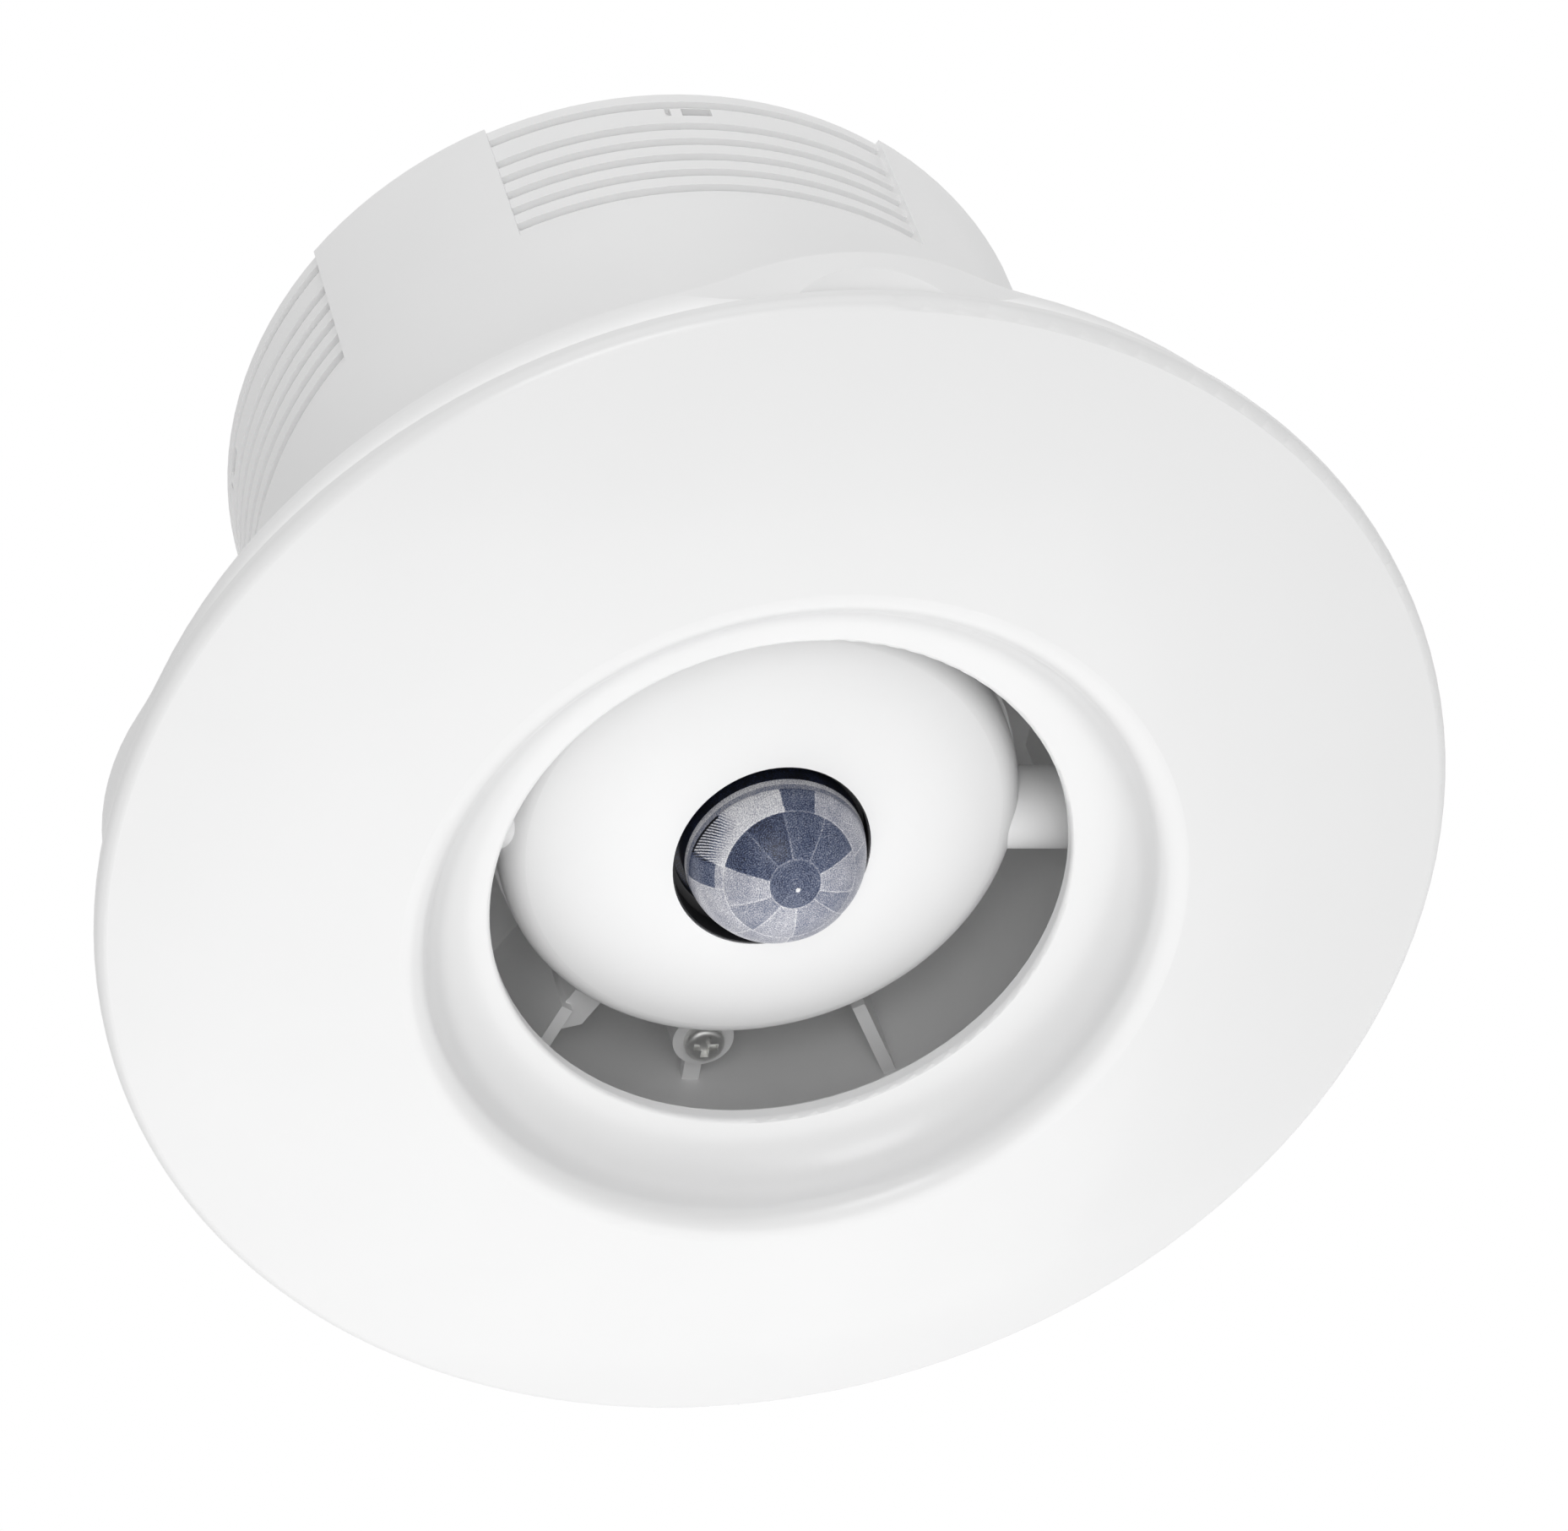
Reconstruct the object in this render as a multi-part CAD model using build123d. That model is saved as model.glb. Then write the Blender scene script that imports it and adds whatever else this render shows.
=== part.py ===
from build123d import *
import math
import os

# Recessed ceiling motion sensor with a tilting, swivelling sensor head.
# Millimetres. Origin: centre of the ring face that lies against the ceiling.
# +Z points up into the ceiling, X is the head's tilt axis.

# ---------------------------------------------------------------- sizes
# Front cover: a dished round trim with a well in its middle.
COVER_RADIUS = 60.0
COVER_WALL = 2.0
COVER_EDGE_HEIGHT = 1.5
COVER_EDGE_ROUND = 1.3
COVER_RISE = 6.1
CREST_RADIUS = 34.5
CREST_INNER_ROUND = 0.5
CROWN_RADIUS = 150.0
OPENING_RADIUS = 25.87
LIP_HEIGHT = 1.44
LIP_ROUND = 0.4
SKIRT_WALL = 1.6
SKIRT_GAP = 0.3
SKIRT_HEIGHT = 3.4
BEAD_HEIGHT = 0.8
BEAD_DEPTH = 0.7

# Mounting ring between the cover and the ceiling.
RING_DEPTH = 6.0
RING_STEP = 0.3
RING_TAPER = 1.8
RING_BULGE = 0.5
RING_PLATE = 2.0
RING_BORE_GAP = 0.2
RING_WALL = 2.8
LUG_RADIUS = 24.0
LUG_FOOT = 30.0
TALL_LUG = (2.05, (-91.0, 89.0))
LOW_LUG = (1.2, (-175.0, 5.0))
SCOOP_RADIUS = 24.0
SCOOP_DEPTH = 2.0
SCOOP_DROP = 11.0
CEILING_HOLE_RADIUS = 2.25
CEILING_HOLE_INSET = 5.1
CEILING_HOLE_START = 45.0
CEILING_HOLES = 4

# Housing: the can that stands up through the ceiling.
HOUSING_RADIUS = 39.3
HOUSING_HEIGHT = 62.64
HOUSING_WALL = 2.8
SHOULDER_STEP = 0.6
FLANGE_WIDTH = 6.2
FLANGE_THICKNESS = 2.0
ZONE_SINK = 0.5
ZONE_HEIGHT = 18.74
ZONE_ARCS = (65.0, 57.0)
GROOVE_PITCH = 2.73
GROOVE_COUNT = 5
GROOVE_DEPTH = 0.8
GROOVE_HEIGHT = 1.2
EASE = 2.0
FIRST_GROOVE_RISE = 2.05
TOP_GROOVE_DROP = 1.94
WINDOW_WIDTH = 2.8
WINDOW_DROP = 0.2
WINDOW_HEIGHT = 1.2
NICK_WIDTH = 0.5
NICK_OFFSET = 2.7
NICK_DEPTH = 0.6
LEDGE_WIDTH = 3.5
LEDGE_THICKNESS = 1.8
LEDGE_HEIGHT = 23.6
STOP_REACH = 4.0
STOP_HALF_ANGLE = 4.0
PILLAR_RADIUS = 3.4
PILLAR_INSET = 2.9
PILLAR_ANGLES = (30.0, 150.0, 270.0)
SNAP_GROOVE_DEPTH = 1.0
SNAP_RING_HEIGHT = 0.4
SNAP_RING_THICKNESS = 1.6
SNAP_RING_WIDTH = 2.1
SNAP_RING_GAP_ANGLE = 30.0
SNAP_GAP = 0.15

# Screws, as (head radius, head height, shank radius, shank length).
FLANGE_SCREW = (2.2, 1.4, 1.1, 3.6)
BOARD_SCREW = (2.2, 1.4, 1.2, 6.0)
SWIVEL_SCREW = (1.85, 1.2, 0.85, 7.0)
HEAD_SCREW = (1.9, 1.3, 0.95, 7.0)
COVER_SCREW = (2.6, 1.8, 1.4, 6.0)
TERMINAL_SCREW = (1.6, 1.2, 1.1, 4.0)
CROSS_DEPTH_SHARE = 0.6
CROSS_ARM_SHARE = 0.62
CROSS_WIDTH_SHARE = 0.2
HEAD_ROUND_SHARE = 0.45
TIP_CHAMFER_SHARE = 0.4
SCREW_GAP = 0.05
HOLE_END_GAP = 0.3
WELL_GAP = 0.2
FLANGE_SCREW_ANGLES = (22.5, 112.5, 202.5, 292.5)

# Swivel: turns about Z inside the housing and carries the head.
TURN_GAP = 0.4
SWIVEL_WALL = 1.8
SWIVEL_LOW = 2.3
FLOOR_HEIGHT = 21.0
FLOOR_THICKNESS = 1.8
FLOOR_HOLE_RADIUS = 12.0
FIN_FRONT = 6.0
FIN_WALL_FRONT = 3.9
FIN_THICKNESS = 1.2
FIN_CLEARANCE = 3.75
FIN_ANGLES = (60.0, 120.0, 240.0, 300.0)
EAR_INSET = 6.0
EAR_RADIUS = 2.85
EAR_FRONT = 7.4
EAR_THICKNESS = 3.0
EAR_WEB_WIDTH = 1.6
EAR_WEB_THICKNESS = 1.2
TAB_ANGLE = 120.0
TAB_START = 25.6
TAB_LENGTH = 4.4
TAB_WIDTH = 2.9
TAB_TAPER = 1.5
TAB_FRONT = 7.0
TAB_DEPTH = 4.0
EAR_BOSS_RADIUS = 2.1
EAR_ANGLES = (90.0, 270.0)
ARM_HALF_WIDTH = 5.0
WASHER_ROOM = 0.6
PEG_RADIUS = 1.2
PEG_INSET = 2.5
PEG_HEIGHT = 2.2
SWIVEL_TRAVEL = 90.0
STOP_CLEARANCE_ANGLE = 0.5
FELT_THICKNESS = 0.7
FELT_WIDTH = 2.4
FELT_GAP = 0.05

# Pivot of the head.
PIVOT_HEIGHT = 4.5
REST_TILT = 1.5
PIN_RADIUS = 1.5
PIN_DEPTH = 2.9
PIN_END_GAP = 0.1
PIN_RUN_GAP = 0.05
PIN_SEAT_GAP = 0.02
BOSS_RADIUS = 3.75
ARM_DEPTH = 4.4
BOSS_INNER = 20.0
BOSS_ROUND = 0.6
WASHER_RADIUS = 3.3
WASHER_GAP = 0.05

# Head: measured from the pivot, front is negative.
DOME_RADIUS = 66.0
DOME_POLE = -7.94
HEAD_RADIUS = 23.45
HEAD_ROUND = 3.0
HEAD_WALL = 2.0
HEAD_SPLIT = 0.9
HEAD_LIP = 0.3
HEAD_BACK_WALL = 1.8
HEAD_BACK_RIM = 3.0
HEAD_BACK_DEPTH = 8.0
HEAD_BACK_RADIUS = 19.0
LENS_HOLE_HALF = (8.85, 9.8)
LENS_RADIUS = 8.2
LENS_APEX = -14.6
LENS_WALL = 0.8
LENS_FLANGE_RADIUS = 10.2
LENS_FLANGE_FRONT = -4.3
BEZEL_FRONT = -5.0
BEZEL_GAP = 0.2
RETAINER_WALL = 1.2
BOARD_SEAT = -1.7
HEAD_BOARD_RADIUS = 14.2
HEAD_BOARD_THICKNESS = 1.2
COLLAR_GAP = 0.2
COLLAR_WALL = 1.4
HEAD_BOSS_CIRCLE = 17.0
HEAD_BOSS_RADIUS = 2.4
HEAD_BOSS_ANGLES = (90.0, 210.0, 330.0)
HEAD_POST_RADIUS = 3.2
HEAD_SCREW_SEAT = 3.0
PRESS_POST_RADIUS = 1.5
PRESS_POST_CIRCLE = 12.0
PRESS_POST_ANGLES = (30.0, 150.0, 270.0)
LEAD_HOLE_RADIUS = 3.5
DETECTOR_RADIUS = 4.6
DETECTOR_HEIGHT = 4.2
DETECTOR_FLANGE = 0.5
DETECTOR_WINDOW = (4.0, 3.0, 0.4)
LED_SIZE = (1.6, 1.6, 1.2)
DAYLIGHT_SIZE = (2.0, 1.6, 0.9)
RECEIVER_SIZE = (2.4, 2.0, 1.6)
SENSOR_CIRCLE = 7.1
SENSOR_ANGLES = (0.0, 120.0, 240.0)
HEAD_PLUG_SIZE = (8.0, 4.5, 3.4)

# Power board and what it carries.
TERMINAL_TOP_GAP = 0.6
BOARD_THICKNESS = 1.6
BOARD_EDGE_GAP = 0.5
TERMINAL_SIZE = (31.0, 11.0, 12.0)
TERMINAL_Y = 17.0
TERMINAL_PITCH = 5.8
TERMINAL_COUNT = 5
TERMINAL_WIRE_RADIUS = 1.6
RELAY_SIZE = (20.0, 10.5, 15.2)
RELAY_PLACE = (13.0, -17.5)
TRANSFORMER_SIZE = (20.0, 17.0, 16.5)
TRANSFORMER_PLACE = (-16.5, -3.0)
BOBBIN_GAP = 1.6
CASE_ROUND = 0.5
FILM_CAPACITOR_SIZE = (18.0, 8.5, 14.5)
FILM_CAPACITOR_PLACE = (17.0, 8.0)
CAN_RADIUS = 5.0
CAN_HEIGHT = 16.0
CAN_PLACES = ((-6.0, 23.0), (6.5, 23.0))
CAN_BEAD = 0.5
VARISTOR_RADIUS = 5.0
VARISTOR_THICKNESS = 4.0
VARISTOR_PLACE = (-12.0, -21.0)
FUSE_RADIUS = 2.6
FUSE_LENGTH = 9.0
FUSE_PLACE = (-22.0, -14.0)
CHIP_SIZE = (9.0, 9.0, 1.4)
CHIP_PLACE = (4.0, -6.0)
BOARD_PLUG_SIZE = (10.0, 5.0, 6.0)
BOARD_PLUG_PLACE = (4.0, -1.0)

# Rear cap, wiring cover and cable clamp.
CAP_SEAT_STEP = 0.8
CAP_THICKNESS = 2.0
CAP_SEAT_DEPTH = 2.44
CAP_GAP = 0.2
TONGUE_WIDTH = 6.0
TONGUE_THICKNESS = 1.5
TONGUE_DROP = 2.6
TONGUE_GAP = 0.15
HOOK_GAP = 0.2
HOOK_REACH = 1.6
CAP_WINDOW_GAP = 0.8
COVER_BOX = (44.0, 22.0, 11.0)
COVER_BOX_WALL = 1.6
COVER_BOX_ROUND = 3.0
COVER_EAR_RADIUS = 4.0
COVER_EAR_THICKNESS = 2.0
CABLE_RADIUS = 3.0
GROMMET_WALL = 1.0
GROMMET_FLANGE = 1.0
GROMMET_LIP = 0.9
CLAMP_Y = -3.0
CLAMP_LENGTH = 8.0
CLAMP_WALL = 2.0
CLAMP_SCREW_X = 9.6
CLAMP_FOOT = 3.6
GRIP_RIB = 0.6

# ---------------------------------------------------------------- derived sizes
EDGE_PLANE = -(RING_DEPTH + COVER_EDGE_HEIGHT)
CREST_ROUND = COVER_WALL + CREST_INNER_ROUND
CREST_TIP = EDGE_PLANE - COVER_RISE
LIP_FRONT = EDGE_PLANE
RING_FRONT_RADIUS = COVER_RADIUS - RING_STEP
RING_REAR_RADIUS = RING_FRONT_RADIUS - RING_TAPER
RING_INNER = RING_REAR_RADIUS - RING_WALL
SHOULDER_RADIUS = HOUSING_RADIUS + SHOULDER_STEP
FLANGE_RADIUS = HOUSING_RADIUS + FLANGE_WIDTH
FLANGE_SCREW_CIRCLE = (SHOULDER_RADIUS + FLANGE_RADIUS) / 2
CEILING_HOLE_CIRCLE = RING_INNER - CEILING_HOLE_INSET
HOUSING_BORE = HOUSING_RADIUS - HOUSING_WALL
PILLAR_CIRCLE = HOUSING_BORE - PILLAR_INSET
CAP_SEAT = HOUSING_HEIGHT - CAP_SEAT_DEPTH
WINDOW_HIGH = CAP_SEAT - WINDOW_DROP
WINDOW_LOW = WINDOW_HIGH - WINDOW_HEIGHT
ZONE_START = HOUSING_HEIGHT - ZONE_HEIGHT
FIRST_GROOVE = ZONE_START + FIRST_GROOVE_RISE
TOP_GROOVE = HOUSING_HEIGHT - TOP_GROOVE_DROP
ZONE_RADIUS = HOUSING_RADIUS - ZONE_SINK
CAP_SEAT_RADIUS = HOUSING_BORE + CAP_SEAT_STEP
CAP_TOP = CAP_SEAT + CAP_THICKNESS
SWIVEL_RADIUS = HOUSING_BORE - TURN_GAP
SWIVEL_INNER = SWIVEL_RADIUS - SWIVEL_WALL
FLOOR_TOP = FLOOR_HEIGHT + FLOOR_THICKNESS
FIN_INNER = HEAD_RADIUS + FIN_CLEARANCE
EAR_CIRCLE = SWIVEL_INNER - EAR_INSET
ARM_INNER = SWIVEL_INNER - ARM_DEPTH
BOSS_OUTER = ARM_INNER - WASHER_ROOM
PIN_INNER = BOSS_OUTER - PIN_DEPTH
PIN_OUTER = SWIVEL_INNER - PIN_END_GAP
LEDGE_INNER = HOUSING_BORE - LEDGE_WIDTH
PEG_CIRCLE = LEDGE_INNER - PEG_INSET
DOME_CENTRE = DOME_POLE + DOME_RADIUS
BOARD_TOP = CAP_SEAT - TERMINAL_TOP_GAP - TERMINAL_SIZE[2]
BOARD_HEIGHT = BOARD_TOP - BOARD_THICKNESS
CABLE_HEIGHT = CAP_TOP + CABLE_RADIUS + GROMMET_WALL
COVER_SCREW_X = COVER_BOX[0] / 2 + COVER_EAR_RADIUS
SKIRT_RADIUS = RING_INNER - SKIRT_GAP
SKIRT_TOP = SKIRT_HEIGHT - RING_DEPTH


# ---------------------------------------------------------------- helpers
def spin(edges, arc=360.0):
    """Turns a closed outline of (radius, height) edges about Z, centred on +X."""
    solid = revolve(Plane.XZ * make_face(edges), axis=Axis.Z, revolution_arc=arc)
    return Rot(0, 0, -arc / 2) * solid if arc < 360.0 else solid


def spin_points(*points, arc=360.0):
    return spin(Polyline(*points, close=True), arc)


def ring(inner, outer, low, high, arc=360.0):
    return spin_points((inner, low), (outer, low), (outer, high), (inner, high), arc=arc)


def post(radius, low, high):
    return Pos(0, 0, low) * Cylinder(radius, high - low, align=(Align.CENTER, Align.CENTER, Align.MIN))


def block(size, low, x=0.0, y=0.0):
    """A box on the XY plane at height low."""
    return Pos(x, y, low) * Box(*size, align=(Align.CENTER, Align.CENTER, Align.MIN))


def along_x(radius, start, end):
    """A round bar on the X axis."""
    return Rot(0, 90, 0) * post(radius, start, end)


def at(radius, angle, solid):
    """Moves a solid out along +X, then turns it about Z."""
    return Rot(0, 0, angle) * Pos(radius, 0, 0) * solid


def screw(sizes):
    """A cross-recess screw with its seat at z = 0, its head above and its shank below."""
    head_radius, head_height, shank_radius, length = sizes
    head = post(head_radius, 0, head_height)
    head = fillet(head.edges().group_by(Axis.Z)[-1], head_height * HEAD_ROUND_SHARE)
    arm = head_radius * 2 * CROSS_ARM_SHARE
    width = head_radius * 2 * CROSS_WIDTH_SHARE
    depth = head_height * CROSS_DEPTH_SHARE
    cross = block((arm, width, depth), head_height - depth)
    cross += block((width, arm, depth), head_height - depth)
    shank = post(shank_radius, -length, 0)
    shank = chamfer(shank.edges().group_by(Axis.Z)[0], shank_radius * TIP_CHAMFER_SHARE)
    return head + shank - cross


def facing_front(solid):
    """Turns a solid over, so that its +Z side faces the room."""
    return Rot(180, 0, 0) * solid


def group(solids):
    """Identical separate pieces kept as one node."""
    return Compound(children=list(solids))


def head_place(solid):
    """Puts a piece of the head on the pivot, at the tilt that it rests at."""
    return Pos(0, 0, PIVOT_HEIGHT) * Rot(REST_TILT, 0, 0) * solid


# ---------------------------------------------------------------- cover and ring
def arc_about(centre, start, end):
    """The short arc about a centre from start to end."""
    middle = ((start[0] + end[0]) / 2, (start[1] + end[1]) / 2)
    return ThreePointArc(start, away(centre, middle, math.dist(centre, start)), end)


def away(centre, point, radius):
    """The point at a radius from the centre, in the direction of another point."""
    share = radius / math.dist(centre, point)
    return (
        centre[0] + (point[0] - centre[0]) * share,
        centre[1] + (point[1] - centre[1]) * share,
    )


def crown_centre(crest, edge):
    """Centre of the crown arc, which meets the outer edge and runs into the crest's round."""
    gap = math.dist(crest, edge)
    along = (gap**2 + CROWN_RADIUS**2 - (CROWN_RADIUS - CREST_ROUND) ** 2) / (2 * gap)
    across = math.sqrt(CROWN_RADIUS**2 - along**2)
    ux = (crest[0] - edge[0]) / gap
    uz = (crest[1] - edge[1]) / gap
    return edge[0] + along * ux + across * uz, edge[1] + along * uz - across * ux


def height_on(centre, radius, x):
    """Height of an arc's front side at a distance x from Z."""
    return centre[1] - math.sqrt(radius**2 - (x - centre[0]) ** 2)


def front_cover():
    """Crowned annulus, rounded crest, hollow-moulded well and a square lip, with a snap skirt."""
    crest = (CREST_RADIUS, CREST_TIP + CREST_ROUND)
    edge = (COVER_RADIUS, EDGE_PLANE)
    crown = crown_centre(crest, edge)
    lip = OPENING_RADIUS + LIP_ROUND
    drop = LIP_FRONT - crest[1]
    hollow = ((CREST_RADIUS - lip) ** 2 + drop**2 - CREST_ROUND**2) / (2 * (drop + CREST_ROUND))
    well = (lip, LIP_FRONT - hollow)
    inner_x = COVER_RADIUS - COVER_WALL
    inner_crown = CROWN_RADIUS - COVER_WALL
    crown_end = away(crown, crest, CROWN_RADIUS)
    crown_back = away(crown, crest, inner_crown)
    well_start = away(well, crest, hollow)
    well_back = away(well, crest, hollow + COVER_WALL)
    edge_back = (inner_x, height_on(crown, inner_crown, inner_x))
    lip_back = (lip, LIP_FRONT + COVER_WALL)
    round_x = COVER_RADIUS - COVER_EDGE_ROUND
    corner = (round_x, height_on(crown, CROWN_RADIUS - COVER_EDGE_ROUND, round_x))
    crown_start = away(crown, corner, CROWN_RADIUS)
    outline = [
        Line((COVER_RADIUS, -RING_DEPTH), (COVER_RADIUS, corner[1])),
        arc_about(corner, (COVER_RADIUS, corner[1]), crown_start),
        arc_about(crown, crown_start, crown_end),
        arc_about(crest, crown_end, well_start),
        arc_about(well, well_start, (lip, LIP_FRONT)),
        arc_about((lip, LIP_FRONT + LIP_ROUND), (lip, LIP_FRONT), (OPENING_RADIUS, LIP_FRONT + LIP_ROUND)),
        Line((OPENING_RADIUS, LIP_FRONT + LIP_ROUND), (OPENING_RADIUS, LIP_FRONT + LIP_HEIGHT)),
        Line((OPENING_RADIUS, LIP_FRONT + LIP_HEIGHT), lip_back),
        arc_about(well, lip_back, well_back),
        arc_about(crest, well_back, crown_back),
        arc_about(crown, crown_back, edge_back),
        Line(edge_back, (inner_x, -RING_DEPTH)),
        Line((inner_x, -RING_DEPTH), (COVER_RADIUS, -RING_DEPTH)),
    ]
    shell = spin(outline)
    skirt_inner = SKIRT_RADIUS - SKIRT_WALL
    root = height_on(crown, inner_crown, skirt_inner) - COVER_WALL / 2
    bead_low = SKIRT_TOP - 2 * BEAD_HEIGHT
    skirt = spin_points(
        (skirt_inner, root),
        (SKIRT_RADIUS, root),
        (SKIRT_RADIUS, bead_low),
        (SKIRT_RADIUS + BEAD_DEPTH, bead_low + BEAD_HEIGHT / 2),
        (SKIRT_RADIUS + BEAD_DEPTH, SKIRT_TOP - BEAD_HEIGHT),
        (SKIRT_RADIUS, SKIRT_TOP),
        (skirt_inner, SKIRT_TOP),
    )
    return shell + skirt


def pry_lug(reach):
    """Low hump on the ring's side, whose two feet run out into the ring's rear edge."""
    plan = Circle(RING_REAR_RADIUS) + Pos(RING_REAR_RADIUS + reach - LUG_RADIUS, 0) * Circle(LUG_RADIUS)
    feet = plan.vertices().sort_by(Axis.Y)
    plan = fillet([feet[0], feet[-1]], LUG_FOOT) - Circle(RING_REAR_RADIUS - RING_WALL / 2)
    return extrude(Pos(0, 0, -RING_DEPTH) * plan, RING_DEPTH)


def mounting_ring():
    """Plate against the ceiling with a bulged side wall, pry lugs and four ceiling screw holes."""
    side = SagittaArc((RING_REAR_RADIUS, 0), (RING_FRONT_RADIUS, -RING_DEPTH), -RING_BULGE)
    bore = SHOULDER_RADIUS + RING_BORE_GAP
    body = spin(
        [
            side,
            Polyline(
                (RING_FRONT_RADIUS, -RING_DEPTH),
                (RING_INNER, -RING_DEPTH),
                (RING_INNER, -RING_PLATE),
                (bore, -RING_PLATE),
                (bore, 0),
                (RING_REAR_RADIUS, 0),
            ),
        ]
    )
    scoop_x = RING_FRONT_RADIUS - SCOOP_DEPTH + math.sqrt(SCOOP_RADIUS**2 - SCOOP_DROP**2)
    scoop = Pos(scoop_x, 0, -RING_DEPTH - SCOOP_DROP) * Sphere(SCOOP_RADIUS)
    for reach, angles in (TALL_LUG, LOW_LUG):
        lug = pry_lug(reach)
        for angle in angles:
            body += at(0, angle, lug)
        for angle in angles:
            body -= at(0, angle, scoop)
    groove = SKIRT_RADIUS + BEAD_DEPTH + SKIRT_GAP
    groove_top = SKIRT_TOP + SKIRT_GAP
    body -= ring(RING_INNER - SKIRT_GAP, groove, groove_top - 2 * BEAD_HEIGHT - SKIRT_GAP, groove_top)
    for index in range(CEILING_HOLES):
        angle = CEILING_HOLE_START + index * 360 / CEILING_HOLES
        body -= at(CEILING_HOLE_CIRCLE, angle, post(CEILING_HOLE_RADIUS, -RING_PLATE, 0))
    for angle in FLANGE_SCREW_ANGLES:
        body -= at(FLANGE_SCREW_CIRCLE, angle, post(FLANGE_SCREW[2] + SCREW_GAP, -RING_PLATE, 0))
    return body


# ---------------------------------------------------------------- housing
def ribbed_zone(arc):
    """What is cut from the can to leave one sunk, saw-toothed grip zone."""
    outside = HOUSING_RADIUS + EASE
    points = [(outside, ZONE_START), (ZONE_RADIUS, ZONE_START)]
    centres = [FIRST_GROOVE + index * GROOVE_PITCH for index in range(GROOVE_COUNT)] + [TOP_GROOVE]
    for centre in centres:
        points += [
            (ZONE_RADIUS, centre - GROOVE_HEIGHT / 2),
            (ZONE_RADIUS - GROOVE_DEPTH, centre + GROOVE_HEIGHT / 2),
            (ZONE_RADIUS, centre + GROOVE_HEIGHT / 2),
        ]
    points += [(ZONE_RADIUS, HOUSING_HEIGHT + EASE), (outside, HOUSING_HEIGHT + EASE)]
    return spin_points(*points, arc=arc)


def housing_body():
    """Can with a front flange, four grip zones, latch windows, a ledge and board pillars."""
    body = spin_points(
        (HOUSING_BORE, -RING_PLATE - FLANGE_THICKNESS),
        (FLANGE_RADIUS, -RING_PLATE - FLANGE_THICKNESS),
        (FLANGE_RADIUS, -RING_PLATE),
        (SHOULDER_RADIUS, -RING_PLATE),
        (SHOULDER_RADIUS, 0),
        (HOUSING_RADIUS, 0),
        (HOUSING_RADIUS, HOUSING_HEIGHT),
        (CAP_SEAT_RADIUS, HOUSING_HEIGHT),
        (CAP_SEAT_RADIUS, CAP_SEAT),
        (HOUSING_BORE, CAP_SEAT),
        (HOUSING_BORE, LEDGE_HEIGHT + LEDGE_THICKNESS),
        (LEDGE_INNER, LEDGE_HEIGHT + LEDGE_THICKNESS),
        (LEDGE_INNER, LEDGE_HEIGHT),
        (HOUSING_BORE, LEDGE_HEIGHT),
        (HOUSING_BORE, SNAP_RING_HEIGHT + SNAP_RING_THICKNESS + SNAP_GAP),
        (HOUSING_BORE + SNAP_GROOVE_DEPTH, SNAP_RING_HEIGHT + SNAP_RING_THICKNESS + SNAP_GAP),
        (HOUSING_BORE + SNAP_GROOVE_DEPTH, SNAP_RING_HEIGHT - SNAP_GAP),
        (HOUSING_BORE, SNAP_RING_HEIGHT - SNAP_GAP),
    )
    pillar = post(PILLAR_RADIUS, LEDGE_HEIGHT + LEDGE_THICKNESS, BOARD_HEIGHT)
    for angle in PILLAR_ANGLES:
        body += at(PILLAR_CIRCLE, angle, pillar)
    for angle in PILLAR_ANGLES:
        low = BOARD_TOP - BOARD_SCREW[3] - HOLE_END_GAP
        hole = post(BOARD_SCREW[2] + SCREW_GAP, low, BOARD_HEIGHT)
        body -= at(PILLAR_CIRCLE, angle, hole)
    peg_half_angle = math.degrees(math.asin(PEG_RADIUS / PEG_CIRCLE))
    stop_turn = SWIVEL_TRAVEL + peg_half_angle + STOP_HALF_ANGLE + STOP_CLEARANCE_ANGLE
    for side in (-1, 1):
        lug = ring(
            LEDGE_INNER - STOP_REACH,
            LEDGE_INNER + LEDGE_WIDTH / 2,
            LEDGE_HEIGHT,
            LEDGE_HEIGHT + LEDGE_THICKNESS,
            2 * STOP_HALF_ANGLE,
        )
        body += at(0, EAR_ANGLES[0] + side * stop_turn, lug)
    for quarter in range(4):
        angle = quarter * 90
        body -= at(0, angle, ribbed_zone(ZONE_ARCS[quarter % 2]))
        size = (4 * CAP_SEAT_STEP + 2 * ZONE_SINK, WINDOW_WIDTH, WINDOW_HIGH - WINDOW_LOW)
        window = block(size, WINDOW_LOW)
        body -= at((HOUSING_BORE + HOUSING_RADIUS) / 2, angle, window)
        nick = block((2 * NICK_DEPTH, NICK_WIDTH, WINDOW_HIGH - WINDOW_LOW), WINDOW_LOW)
        body -= at(0, angle, Pos(ZONE_RADIUS, -NICK_OFFSET, 0) * nick)
    for angle in FLANGE_SCREW_ANGLES:
        hole = post(FLANGE_SCREW[2] + SCREW_GAP, -RING_PLATE - FLANGE_THICKNESS, -RING_PLATE)
        body -= at(FLANGE_SCREW_CIRCLE, angle, hole)
    return body


def flange_screws():
    seat = -RING_PLATE - FLANGE_THICKNESS
    one = Pos(0, 0, seat) * facing_front(screw(FLANGE_SCREW))
    return group(at(FLANGE_SCREW_CIRCLE, angle, one) for angle in FLANGE_SCREW_ANGLES)


def snap_ring():
    """Open spring ring in the can's groove, which keeps the swivel in."""
    outer = HOUSING_BORE + SNAP_GROOVE_DEPTH - SNAP_GAP
    arc = 360 - SNAP_RING_GAP_ANGLE
    low = SNAP_RING_HEIGHT
    return ring(outer - SNAP_RING_WIDTH, outer, low, low + SNAP_RING_THICKNESS, arc)


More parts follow.
